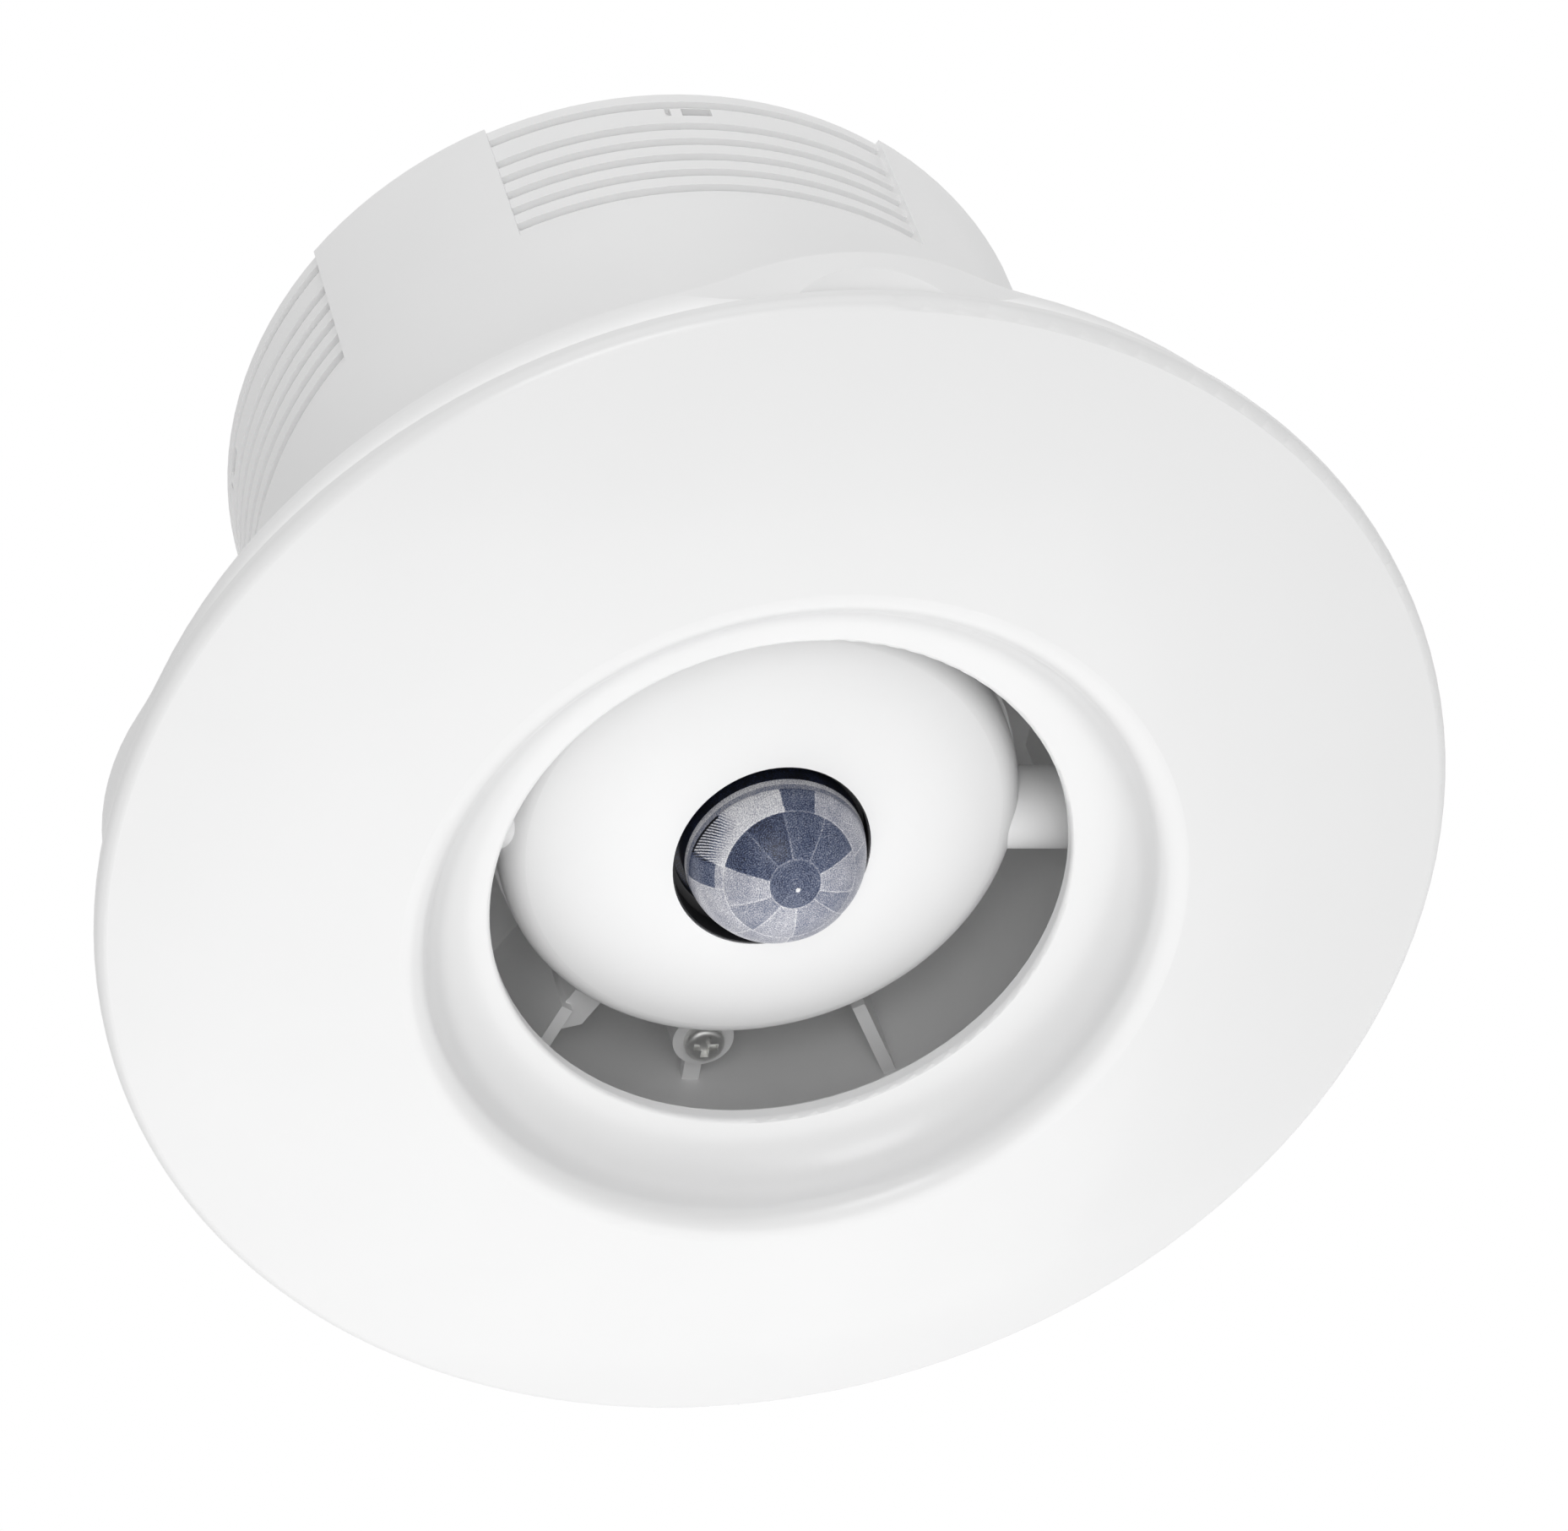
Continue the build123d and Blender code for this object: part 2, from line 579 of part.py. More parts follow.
def felt_ring():
    """Friction felt between the turning floor and the can's ledge."""
    high = LEDGE_HEIGHT - FELT_GAP
    outer = SWIVEL_RADIUS - FELT_GAP
    return ring(outer - FELT_WIDTH, outer, high - FELT_THICKNESS, high)


# ---------------------------------------------------------------- swivel
def swivel_ring():
    """Open drum with two pivot arms, radial fins, two screw ears and a tab beside one fin."""
    body = ring(SWIVEL_INNER, SWIVEL_RADIUS, SWIVEL_LOW, FLOOR_HEIGHT)
    reach = SWIVEL_INNER + SWIVEL_WALL / 2
    arm = Pos(ARM_INNER, 0, 0) * Box(
        reach - ARM_INNER,
        2 * ARM_HALF_WIDTH,
        FLOOR_HEIGHT - PIVOT_HEIGHT,
        align=(Align.MIN, Align.CENTER, Align.MIN),
    )
    arm += along_x(ARM_HALF_WIDTH, ARM_INNER, reach)
    arm = Pos(0, 0, PIVOT_HEIGHT) * arm & post(reach, -FLOOR_HEIGHT, FLOOR_HEIGHT)
    bore = along_x(PIN_RADIUS + PIN_SEAT_GAP, ARM_INNER - WASHER_RADIUS, PIN_OUTER)
    arm -= Pos(0, 0, PIVOT_HEIGHT) * bore
    fin_side = Polygon(
        (FIN_INNER, FIN_FRONT),
        (reach, FIN_WALL_FRONT),
        (reach, FLOOR_HEIGHT),
        (FIN_INNER, FLOOR_HEIGHT),
        align=None,
    )
    fin = extrude(Plane.XZ * fin_side, FIN_THICKNESS / 2, both=True)
    ear = post(EAR_RADIUS, EAR_FRONT, EAR_FRONT + EAR_THICKNESS)
    web_length = reach - EAR_CIRCLE
    web_front = EAR_FRONT + EAR_THICKNESS - EAR_WEB_THICKNESS
    web = block((web_length, EAR_WEB_WIDTH, EAR_WEB_THICKNESS), web_front, web_length / 2)
    hole = post(SWIVEL_SCREW[2] + SCREW_GAP, EAR_FRONT, EAR_FRONT + EAR_THICKNESS)
    for side in (0, 180):
        body += at(0, side, arm)
    for angle in FIN_ANGLES:
        body += at(0, angle, fin)
    for angle in EAR_ANGLES:
        body += at(EAR_CIRCLE, angle, ear + web - hole)
    tab_outline = Polygon(
        (0, 0),
        (0, -TAB_WIDTH),
        (TAB_LENGTH - TAB_TAPER, -TAB_WIDTH),
        (TAB_LENGTH, -TAB_WIDTH + TAB_TAPER),
        (TAB_LENGTH, 0),
        align=None,
    )
    tab = Pos(0, 0, TAB_FRONT) * extrude(tab_outline, TAB_DEPTH)
    return body + at(TAB_START, TAB_ANGLE, tab)


def back_plate():
    """Floor behind the head, with two screw pillars, a lead hole and the stop peg."""
    body = ring(FLOOR_HOLE_RADIUS, SWIVEL_RADIUS, FLOOR_HEIGHT, FLOOR_TOP)
    pillar_low = EAR_FRONT + EAR_THICKNESS
    hole_end = EAR_FRONT + SWIVEL_SCREW[3] + HOLE_END_GAP
    for angle in EAR_ANGLES:
        body += at(EAR_CIRCLE, angle, post(EAR_BOSS_RADIUS, pillar_low, FLOOR_TOP))
    for angle in EAR_ANGLES:
        hole = post(SWIVEL_SCREW[2] + SCREW_GAP, pillar_low, hole_end)
        body -= at(EAR_CIRCLE, angle, hole)
    body += at(PEG_CIRCLE, EAR_ANGLES[0], post(PEG_RADIUS, FLOOR_HEIGHT, FLOOR_TOP + PEG_HEIGHT))
    return body


def swivel_screws():
    one = Pos(0, 0, EAR_FRONT) * facing_front(screw(SWIVEL_SCREW))
    return group(at(EAR_CIRCLE, angle, one) for angle in EAR_ANGLES)


def pivot_pins():
    one = chamfer(along_x(PIN_RADIUS, PIN_INNER, PIN_OUTER).edges().group_by(Axis.X)[0], PIN_RADIUS / 5)
    one = Pos(0, 0, PIVOT_HEIGHT) * one
    return group(at(0, side, one) for side in (0, 180))


def friction_washers():
    """Thin washers on the pins, between the head's bosses and the arms."""
    low = BOSS_OUTER + WASHER_GAP
    high = ARM_INNER - WASHER_GAP
    one = along_x(WASHER_RADIUS, low, high) - along_x(PIN_RADIUS + PIN_RUN_GAP, low, high)
    one = Pos(0, 0, PIVOT_HEIGHT) * one
    return group(at(0, side, one) for side in (0, 180))


# ---------------------------------------------------------------- head
def dome_outline(offset, rear):
    """Points and arcs of the dome, offset inwards from its outer face, down to a rear height."""
    centre = (0, DOME_CENTRE)
    radius = DOME_RADIUS - offset
    round_x = HEAD_RADIUS - HEAD_ROUND
    round_z = DOME_CENTRE - math.sqrt((DOME_RADIUS - HEAD_ROUND) ** 2 - round_x**2)
    corner = (round_x, round_z)
    side = HEAD_RADIUS - offset
    start = (0, DOME_CENTRE - radius)
    turn = away(centre, corner, radius)
    return [
        arc_about(centre, start, turn),
        arc_about(corner, turn, (side, round_z)),
        Polyline((side, round_z), (side, rear), (0, rear), start),
    ]


def head_shell():
    """Shallow dome with a lens hole, side bosses for the pins and posts for the rear screws."""
    outer = spin(dome_outline(0, HEAD_SPLIT))
    inner = spin(dome_outline(HEAD_WALL, HEAD_SPLIT + HEAD_WALL))
    body = outer - inner
    boss = along_x(BOSS_RADIUS, BOSS_INNER, BOSS_OUTER)
    boss = fillet(boss.edges().group_by(Axis.X)[0], BOSS_ROUND)
    for side in (0, 180):
        body += at(0, side, boss)
    collar_inner = LENS_FLANGE_RADIUS + COLLAR_GAP
    collar = ring(collar_inner, collar_inner + COLLAR_WALL, DOME_POLE, BOARD_SEAT - COLLAR_GAP)
    one_post = post(HEAD_BOSS_RADIUS, DOME_POLE, HEAD_SPLIT)
    posts = [at(HEAD_BOSS_CIRCLE, angle, one_post) for angle in HEAD_BOSS_ANGLES]
    body += (collar + posts) & outer
    depth = HEAD_SCREW_SEAT - HEAD_SCREW[3] - HOLE_END_GAP
    for angle in HEAD_BOSS_ANGLES:
        body -= at(HEAD_BOSS_CIRCLE, angle, post(HEAD_SCREW[2] + SCREW_GAP, depth, HEAD_SPLIT))
    bore = along_x(PIN_RADIUS + PIN_RUN_GAP, PIN_INNER - PIN_RUN_GAP, BOSS_OUTER)
    for side in (0, 180):
        body -= at(0, side, bore)
    body -= extrude(Pos(0, 0, LENS_APEX) * Ellipse(*LENS_HOLE_HALF), BEZEL_FRONT - LENS_APEX)
    body -= post(collar_inner, BEZEL_FRONT, BOARD_SEAT)
    return head_place(body)


def head_back():
    """Rear bowl of the head: rim, sloped wall and floor, with screw posts and board posts."""
    rim = HEAD_RADIUS + HEAD_LIP
    corner = HEAD_BACK_RADIUS
    wall = HEAD_BACK_WALL
    inner_floor = HEAD_BACK_DEPTH - wall
    body = spin_points(
        (rim - wall, HEAD_SPLIT),
        (rim, HEAD_SPLIT),
        (rim, HEAD_BACK_RIM),
        (corner, HEAD_BACK_DEPTH),
        (0, HEAD_BACK_DEPTH),
        (0, inner_floor),
        (corner - wall, inner_floor),
        (rim - wall, HEAD_BACK_RIM - wall / 2),
    )
    envelope = spin_points(
        (0, BOARD_SEAT),
        (rim, BOARD_SEAT),
        (rim, HEAD_BACK_RIM),
        (corner, HEAD_BACK_DEPTH),
        (0, HEAD_BACK_DEPTH),
    )
    for angle in HEAD_BOSS_ANGLES:
        body += at(HEAD_BOSS_CIRCLE, angle, post(HEAD_POST_RADIUS, HEAD_SPLIT, HEAD_BACK_DEPTH)) & envelope
    board_back = BOARD_SEAT + HEAD_BOARD_THICKNESS
    for angle in PRESS_POST_ANGLES:
        body += at(PRESS_POST_CIRCLE, angle, post(PRESS_POST_RADIUS, board_back, HEAD_BACK_DEPTH))
    for angle in HEAD_BOSS_ANGLES:
        body -= at(HEAD_BOSS_CIRCLE, angle, post(HEAD_SCREW[2] + SCREW_GAP, HEAD_SPLIT, HEAD_SCREW_SEAT))
        well = post(HEAD_SCREW[0] + WELL_GAP, HEAD_SCREW_SEAT, HEAD_BACK_DEPTH)
        body -= at(HEAD_BOSS_CIRCLE, angle, well)
    body -= post(LEAD_HOLE_RADIUS, inner_floor, HEAD_BACK_DEPTH)
    for side in (0, 180):
        body -= at(0, side, along_x(BOSS_RADIUS + COLLAR_GAP, BOSS_INNER - COLLAR_GAP, BOSS_OUTER))
    return head_place(body)


def head_screws():
    one = Pos(0, 0, HEAD_SCREW_SEAT) * screw(HEAD_SCREW)
    return head_place(group(at(HEAD_BOSS_CIRCLE, angle, one) for angle in HEAD_BOSS_ANGLES))


def fresnel_lens():
    """Domed lens with a short barrel and a clamping flange."""
    ball = LENS_APEX + LENS_RADIUS
    flange_back = LENS_FLANGE_FRONT + LENS_WALL
    rear_half = post(LENS_RADIUS + LENS_WALL, ball, ball + 2 * LENS_RADIUS)
    body = Pos(0, 0, ball) * Sphere(LENS_RADIUS) - rear_half
    body += post(LENS_RADIUS, ball, flange_back)
    body += post(LENS_FLANGE_RADIUS, LENS_FLANGE_FRONT, flange_back)
    inside = LENS_RADIUS - LENS_WALL
    body -= Pos(0, 0, ball) * Sphere(inside)
    body -= post(inside, ball, flange_back)
    return head_place(body)


def lens_bezel():
    """Black ring in front of the lens flange, which darkens the gap round the lens."""
    body = ring(LENS_RADIUS + BEZEL_GAP, LENS_FLANGE_RADIUS, BEZEL_FRONT, LENS_FLANGE_FRONT)
    return head_place(body)


def lens_retainer():
    """Black tube that clamps the lens flange and carries the head board."""
    outer = LENS_FLANGE_RADIUS
    return head_place(ring(outer - RETAINER_WALL, outer, LENS_FLANGE_FRONT + LENS_WALL, BOARD_SEAT))


def head_board():
    return head_place(post(HEAD_BOARD_RADIUS, BOARD_SEAT, BOARD_SEAT + HEAD_BOARD_THICKNESS))


def detector_window_box(grow, low):
    width, depth, thickness = DETECTOR_WINDOW
    return block((width + grow, depth + grow, thickness), low)


def pir_detector():
    """Round metal detector can on a thin flange, with a seat for its window."""
    top = BOARD_SEAT - DETECTOR_HEIGHT
    body = post(DETECTOR_RADIUS - DETECTOR_FLANGE, top, BOARD_SEAT)
    body = fillet(body.edges().group_by(Axis.Z)[0], DETECTOR_FLANGE)
    body += post(DETECTOR_RADIUS, BOARD_SEAT - DETECTOR_FLANGE, BOARD_SEAT)
    return head_place(body - detector_window_box(0, top))


def detector_window():
    return head_place(detector_window_box(-2 * SCREW_GAP, BOARD_SEAT - DETECTOR_HEIGHT))


def sensor_chip(size, angle):
    """A small part on the front of the head board, beside the detector."""
    return head_place(at(0, angle, block(size, BOARD_SEAT - size[2], SENSOR_CIRCLE)))


def head_plug():
    return head_place(block(HEAD_PLUG_SIZE, BOARD_SEAT + HEAD_BOARD_THICKNESS))


# ---------------------------------------------------------------- power board
def power_board():
    body = post(HOUSING_BORE - BOARD_EDGE_GAP, BOARD_HEIGHT, BOARD_TOP)
    for angle in PILLAR_ANGLES:
        hole = post(BOARD_SCREW[2] + SCREW_GAP, BOARD_HEIGHT, BOARD_TOP)
        body -= at(PILLAR_CIRCLE, angle, hole)
    return body


def board_screws():
    one = Pos(0, 0, BOARD_TOP) * screw(BOARD_SCREW)
    return group(at(PILLAR_CIRCLE, angle, one) for angle in PILLAR_ANGLES)


def hanging(size, place):
    """A boxed part on the front side of the power board, with softened upright corners."""
    body = block(size, BOARD_HEIGHT - size[2], *place)
    return fillet(body.edges().filter_by(Axis.Z), CASE_ROUND)


def transformer():
    """Iron core with a taped winding round its middle limb."""
    width, depth, height = TRANSFORMER_SIZE
    core_height = height - 2 * BOBBIN_GAP
    low = BOARD_HEIGHT - height + BOBBIN_GAP
    core = block((width, depth - 2 * BOBBIN_GAP, core_height), low, *TRANSFORMER_PLACE)
    winding = block((width / 2, depth, core_height), low, *TRANSFORMER_PLACE)
    foot = (width / 2 + BOBBIN_GAP, depth, BOBBIN_GAP)
    bobbin = block(foot, BOARD_HEIGHT - BOBBIN_GAP, *TRANSFORMER_PLACE)
    return core + winding + bobbin


def smoothing_capacitors():
    """Upright can capacitors with a rolled bead near the board."""
    body = post(CAN_RADIUS, BOARD_HEIGHT - CAN_HEIGHT, BOARD_HEIGHT)
    body = fillet(body.edges().group_by(Axis.Z)[0], CAN_BEAD)
    groove = BOARD_HEIGHT - 4 * CAN_BEAD
    body -= ring(CAN_RADIUS - CAN_BEAD, CAN_RADIUS + CAN_BEAD, groove - CAN_BEAD, groove)
    return group(Pos(x, y, 0) * body for x, y in CAN_PLACES)


def varistor():
    """Dipped disc that stands on its edge."""
    x, y = VARISTOR_PLACE
    disc = Rot(90, 0, 0) * Cylinder(VARISTOR_RADIUS, VARISTOR_THICKNESS)
    return Pos(x, y, BOARD_HEIGHT - VARISTOR_RADIUS) * fillet(disc.edges(), VARISTOR_THICKNESS / 4)


def fuse():
    """Round upright fuse pot."""
    x, y = FUSE_PLACE
    body = post(FUSE_RADIUS, BOARD_TOP, BOARD_TOP + FUSE_LENGTH)
    return Pos(x, y, 0) * fillet(body.edges().group_by(Axis.Z)[-1], CAN_BEAD)


def terminal_places():
    half = (TERMINAL_COUNT - 1) / 2
    return [(index - half) * TERMINAL_PITCH for index in range(TERMINAL_COUNT)]


def terminal_block():
    """Row of wire clamps: a wire hole in the front of each and a screw well in its top."""
    depth = TERMINAL_SIZE[1]
    height = TERMINAL_SIZE[2]
    body = block(TERMINAL_SIZE, BOARD_TOP, 0, TERMINAL_Y)
    top = BOARD_TOP + height
    well_floor = top - 2 * TERMINAL_SCREW[1]
    hole_end = well_floor - TERMINAL_SCREW[3] - HOLE_END_GAP
    for x in terminal_places():
        well = post(TERMINAL_SCREW[0] + 2 * SCREW_GAP, well_floor, top)
        shank = post(TERMINAL_SCREW[2] + SCREW_GAP, hole_end, top)
        body -= Pos(x, TERMINAL_Y, 0) * (well + shank)
        wire = Pos(x, TERMINAL_Y - depth / 2, BOARD_TOP + height / 4) * Rot(90, 0, 0)
        body -= wire * Cylinder(TERMINAL_WIRE_RADIUS, depth)
    return body


def terminal_screws():
    seat = BOARD_TOP + TERMINAL_SIZE[2] - 2 * TERMINAL_SCREW[1]
    one = Pos(0, TERMINAL_Y, seat) * screw(TERMINAL_SCREW)
    return group(Pos(x, 0, 0) * one for x in terminal_places())


def control_chip():
    return block(CHIP_SIZE, BOARD_TOP, *CHIP_PLACE)


def board_plug():
    return block(BOARD_PLUG_SIZE, BOARD_HEIGHT - BOARD_PLUG_SIZE[2], *BOARD_PLUG_PLACE)


# ---------------------------------------------------------------- rear
def rear_cap():
    """Disc in the can's rear seat, with four latch tongues and the wiring window."""
    body = post(CAP_SEAT_RADIUS - CAP_GAP, CAP_SEAT, CAP_TOP)
    gap = 2 * CAP_WINDOW_GAP
    window = (TERMINAL_SIZE[0] + gap, TERMINAL_SIZE[1] + gap, CAP_THICKNESS)
    body -= block(window, CAP_SEAT, 0, TERMINAL_Y)
    tongue_outer = HOUSING_BORE - TONGUE_GAP
    tongue = block((TONGUE_THICKNESS, TONGUE_WIDTH, TONGUE_DROP), CAP_SEAT - TONGUE_DROP)
    hook_height = WINDOW_HIGH - WINDOW_LOW - 2 * HOOK_GAP
    hook_length = TONGUE_THICKNESS / 2 + HOOK_REACH
    hook_size = (hook_length, WINDOW_WIDTH - 2 * HOOK_GAP, hook_height)
    hook = block(hook_size, WINDOW_LOW + HOOK_GAP, hook_length / 2)
    for quarter in range(4):
        body += at(tongue_outer - TONGUE_THICKNESS / 2, quarter * 90, tongue + hook)
    for x in (-COVER_SCREW_X, COVER_SCREW_X):
        body -= Pos(x, TERMINAL_Y, 0) * post(COVER_SCREW[2] + SCREW_GAP, CAP_SEAT, CAP_TOP)
    for x in (-CLAMP_SCREW_X, CLAMP_SCREW_X):
        body -= Pos(x, CLAMP_Y, 0) * post(COVER_SCREW[2] + SCREW_GAP, CAP_SEAT, CAP_TOP)
    for offset in (-1, 0, 1):
        y = CLAMP_Y + offset * CLAMP_LENGTH / 3
        body += block((2 * CABLE_RADIUS, GRIP_RIB, GRIP_RIB), CAP_TOP, 0, y)
    return body


def wiring_cover():
    """Lift-off box over the wire clamps, with a cable notch and two screw ears."""
    width, depth, height = COVER_BOX
    wall = COVER_BOX_WALL
    body = block(COVER_BOX, CAP_TOP, 0, TERMINAL_Y)
    body = fillet(body.edges().filter_by(Axis.Z), COVER_BOX_ROUND)
    body = fillet(body.edges().group_by(Axis.Z)[-1], wall / 2)
    room = block((width - 2 * wall, depth - 2 * wall, height - wall), CAP_TOP, 0, TERMINAL_Y)
    room = fillet(room.edges().filter_by(Axis.Z), COVER_BOX_ROUND - wall)
    for x in (-COVER_SCREW_X, COVER_SCREW_X):
        ear = Pos(x, TERMINAL_Y, 0) * post(COVER_EAR_RADIUS, CAP_TOP, CAP_TOP + COVER_EAR_THICKNESS)
        web = block((COVER_SCREW_X - width / 2 + wall, 2 * COVER_EAR_RADIUS, COVER_EAR_THICKNESS), CAP_TOP)
        body += ear + Pos((x + math.copysign(width / 2 - wall, x)) / 2, TERMINAL_Y, 0) * web
    body -= room
    for x in (-COVER_SCREW_X, COVER_SCREW_X):
        hole = post(COVER_SCREW[2] + SCREW_GAP, CAP_TOP, CAP_TOP + COVER_EAR_THICKNESS)
        body -= Pos(x, TERMINAL_Y, 0) * hole
    front = TERMINAL_Y - depth / 2
    notch_radius = CABLE_RADIUS + GROMMET_WALL + SCREW_GAP
    notch = Pos(0, front, CABLE_HEIGHT) * Rot(90, 0, 0) * Cylinder(notch_radius, 3 * wall)
    slot = block((2 * notch_radius, 3 * wall, CABLE_HEIGHT - CAP_TOP), CAP_TOP, 0, front)
    return body - notch - slot


def wiring_cover_screws():
    one = Pos(0, TERMINAL_Y, CAP_TOP + COVER_EAR_THICKNESS) * screw(COVER_SCREW)
    return group(Pos(x, 0, 0) * one for x in (-COVER_SCREW_X, COVER_SCREW_X))


def cable_grommet():
    """Flanged rubber sleeve in the wiring cover's notch."""
    wall = COVER_BOX_WALL
    sleeve = CABLE_RADIUS + GROMMET_WALL
    length = wall + 2 * GROMMET_FLANGE
    body = Cylinder(sleeve, length)
    for side in (-1, 1):
        z = side * (length - GROMMET_FLANGE) / 2
        body += Pos(0, 0, z) * Cylinder(sleeve + GROMMET_LIP, GROMMET_FLANGE)
    body -= Cylinder(CABLE_RADIUS, length)
    y = TERMINAL_Y - COVER_BOX[1] / 2 + wall / 2
    body = Pos(0, y, CABLE_HEIGHT) * Rot(90, 0, 0) * body
    return body & block((4 * sleeve, 4 * length, 4 * sleeve), CAP_TOP + SCREW_GAP, 0, y)


def cable_clamp():
    """Arched saddle that grips the cable, with a screw foot each side."""
    inside = CABLE_RADIUS + GRIP_RIB
    outside = inside + CLAMP_WALL
    centre = CAP_TOP + inside
    arch = Pos(0, CLAMP_Y, centre) * Rot(90, 0, 0) * Cylinder(outside, CLAMP_LENGTH)
    arch += block((2 * outside, CLAMP_LENGTH, inside), CAP_TOP, 0, CLAMP_Y)
    foot = block((2 * (CLAMP_SCREW_X + CLAMP_FOOT), CLAMP_LENGTH, CLAMP_WALL), CAP_TOP, 0, CLAMP_Y)
    foot = fillet(foot.edges().filter_by(Axis.Z), CLAMP_LENGTH / 3)
    body = (arch & block((4 * outside, 2 * CLAMP_LENGTH, 4 * outside), CAP_TOP, 0, CLAMP_Y)) + foot
    body -= Pos(0, CLAMP_Y, centre) * Rot(90, 0, 0) * Cylinder(inside, 2 * CLAMP_LENGTH)
    body -= block((2 * inside, 2 * CLAMP_LENGTH, inside), CAP_TOP, 0, CLAMP_Y)
    for x in (-CLAMP_SCREW_X, CLAMP_SCREW_X):
        body -= Pos(x, CLAMP_Y, 0) * post(COVER_SCREW[2] + SCREW_GAP, CAP_TOP, CAP_TOP + CLAMP_WALL)
    return body


def cable_clamp_screws():
    one = Pos(0, CLAMP_Y, CAP_TOP + CLAMP_WALL) * screw(COVER_SCREW)
    return group(Pos(x, 0, 0) * one for x in (-CLAMP_SCREW_X, CLAMP_SCREW_X))


# ---------------------------------------------------------------- export
def parts():
    """Every piece under its own name."""
    return {
        "front_cover": front_cover(),
        "mounting_ring": mounting_ring(),
        "housing_body": housing_body(),
        "flange_screws": flange_screws(),
        "snap_ring": snap_ring(),
        "felt_ring": felt_ring(),
        "swivel_ring": swivel_ring(),
        "back_plate": back_plate(),
        "swivel_screws": swivel_screws(),
        "pivot_pins": pivot_pins(),
        "friction_washers": friction_washers(),
        "head_shell": head_shell(),
        "head_back": head_back(),
        "head_screws": head_screws(),
        "fresnel_lens": fresnel_lens(),
        "lens_bezel": lens_bezel(),
        "lens_retainer": lens_retainer(),
        "head_board": head_board(),
        "pir_detector": pir_detector(),
        "detector_window": detector_window(),
        "daylight_sensor": sensor_chip(DAYLIGHT_SIZE, SENSOR_ANGLES[0]),
        "status_led": sensor_chip(LED_SIZE, SENSOR_ANGLES[1]),
        "remote_receiver": sensor_chip(RECEIVER_SIZE, SENSOR_ANGLES[2]),
        "head_plug": head_plug(),
        "power_board": power_board(),
        "board_screws": board_screws(),
        "relay": hanging(RELAY_SIZE, RELAY_PLACE),
        "transformer": transformer(),
        "film_capacitor": hanging(FILM_CAPACITOR_SIZE, FILM_CAPACITOR_PLACE),
        "smoothing_capacitors": smoothing_capacitors(),
        "varistor": varistor(),
        "fuse": fuse(),
        "terminal_block": terminal_block(),
        "terminal_screws": terminal_screws(),
        "control_chip": control_chip(),
        "board_plug": board_plug(),
        "rear_cap": rear_cap(),
        "wiring_cover": wiring_cover(),
        "wiring_cover_screws": wiring_cover_screws(),
        "cable_grommet": cable_grommet(),
        "cable_clamp": cable_clamp(),
        "cable_clamp_screws": cable_clamp_screws(),
    }


os.makedirs("parts", exist_ok=True)
for name, solid in parts().items():
    export_step(solid, f"parts/{name}.step")
    print(name, round(solid.volume, 1))
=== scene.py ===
# %% [markdown]
# # A recessed ceiling motion sensor
# The object is a round sensor that is let into a ceiling. A dished white cover and a mounting ring stay
# in the room, a ribbed can goes up through the ceiling, and a domed head with a faceted lens tilts and
# turns in the middle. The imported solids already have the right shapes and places, so they are loaded
# first and never moved. What Blender adds is what makes each surface look like what it is made of.

# %% Load the solids
import math

import bmesh
import bpy
from mathutils import Matrix, Vector


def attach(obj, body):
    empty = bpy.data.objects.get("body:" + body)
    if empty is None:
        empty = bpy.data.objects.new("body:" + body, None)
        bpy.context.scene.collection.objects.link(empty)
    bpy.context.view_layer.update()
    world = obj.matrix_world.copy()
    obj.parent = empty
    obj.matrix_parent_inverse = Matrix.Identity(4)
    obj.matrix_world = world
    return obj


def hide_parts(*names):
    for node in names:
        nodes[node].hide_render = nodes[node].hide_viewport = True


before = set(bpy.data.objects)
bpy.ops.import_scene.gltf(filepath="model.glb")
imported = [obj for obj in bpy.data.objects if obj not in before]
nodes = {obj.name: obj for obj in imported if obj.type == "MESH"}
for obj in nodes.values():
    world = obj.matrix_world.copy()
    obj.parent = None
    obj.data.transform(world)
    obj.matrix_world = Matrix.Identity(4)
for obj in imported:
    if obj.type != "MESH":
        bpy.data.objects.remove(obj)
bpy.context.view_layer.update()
MM = 0.001
MM_PER_METRE = 1000

# %% [markdown]
# ## Smooth skins on the solids
# A solid arrives as flat triangles. A real moulding has smooth skins that meet at crisp edges. Smoothing
# every normal would smear the edges, and leaving them flat would show the triangles. So each face is
# shaded smooth, and only an edge that turns by more than a set angle stays sharp. The mesh itself isn't
# touched.

# %% Shade the solids
SHARP_ANGLE = math.radians(28)


def shade_by_angle(piece, angle=SHARP_ANGLE):
    """Smooth shading that keeps the edges that turn by more than the angle."""
    piece.data.shade_smooth()
    piece.data.set_sharp_from_angle(angle=angle)


for node in nodes.values():
    shade_by_angle(node)
print("edges kept sharp above", round(math.degrees(SHARP_ANGLE)), "degrees")

# %% [markdown]
# ## Helpers for materials
# A material is a small web of nodes: some give a place or a noise, some do sums, and the last is the
# shader. Each node could be added and linked by hand, in four or five lines. Nearly all of them are added
# in the same way, so a few helpers do it, and each material below can be read as a recipe.

# %% Add nodes
def put(tree, kind, links=None, **settings):
    """Adds a node, sets its plain settings, and links or fills its input sockets."""
    node = tree.nodes.new(kind)
    for key, value in settings.items():
        setattr(node, key, value)
    for key, value in (links or {}).items():
        if isinstance(value, bpy.types.NodeSocket):
            tree.links.new(value, node.inputs[key])
        else:
            node.inputs[key].default_value = value
    return node


def calc(tree, operation, *values):
    """The result of one sum on one or two values."""
    return put(tree, "ShaderNodeMath", dict(enumerate(values)), operation=operation).outputs[0]


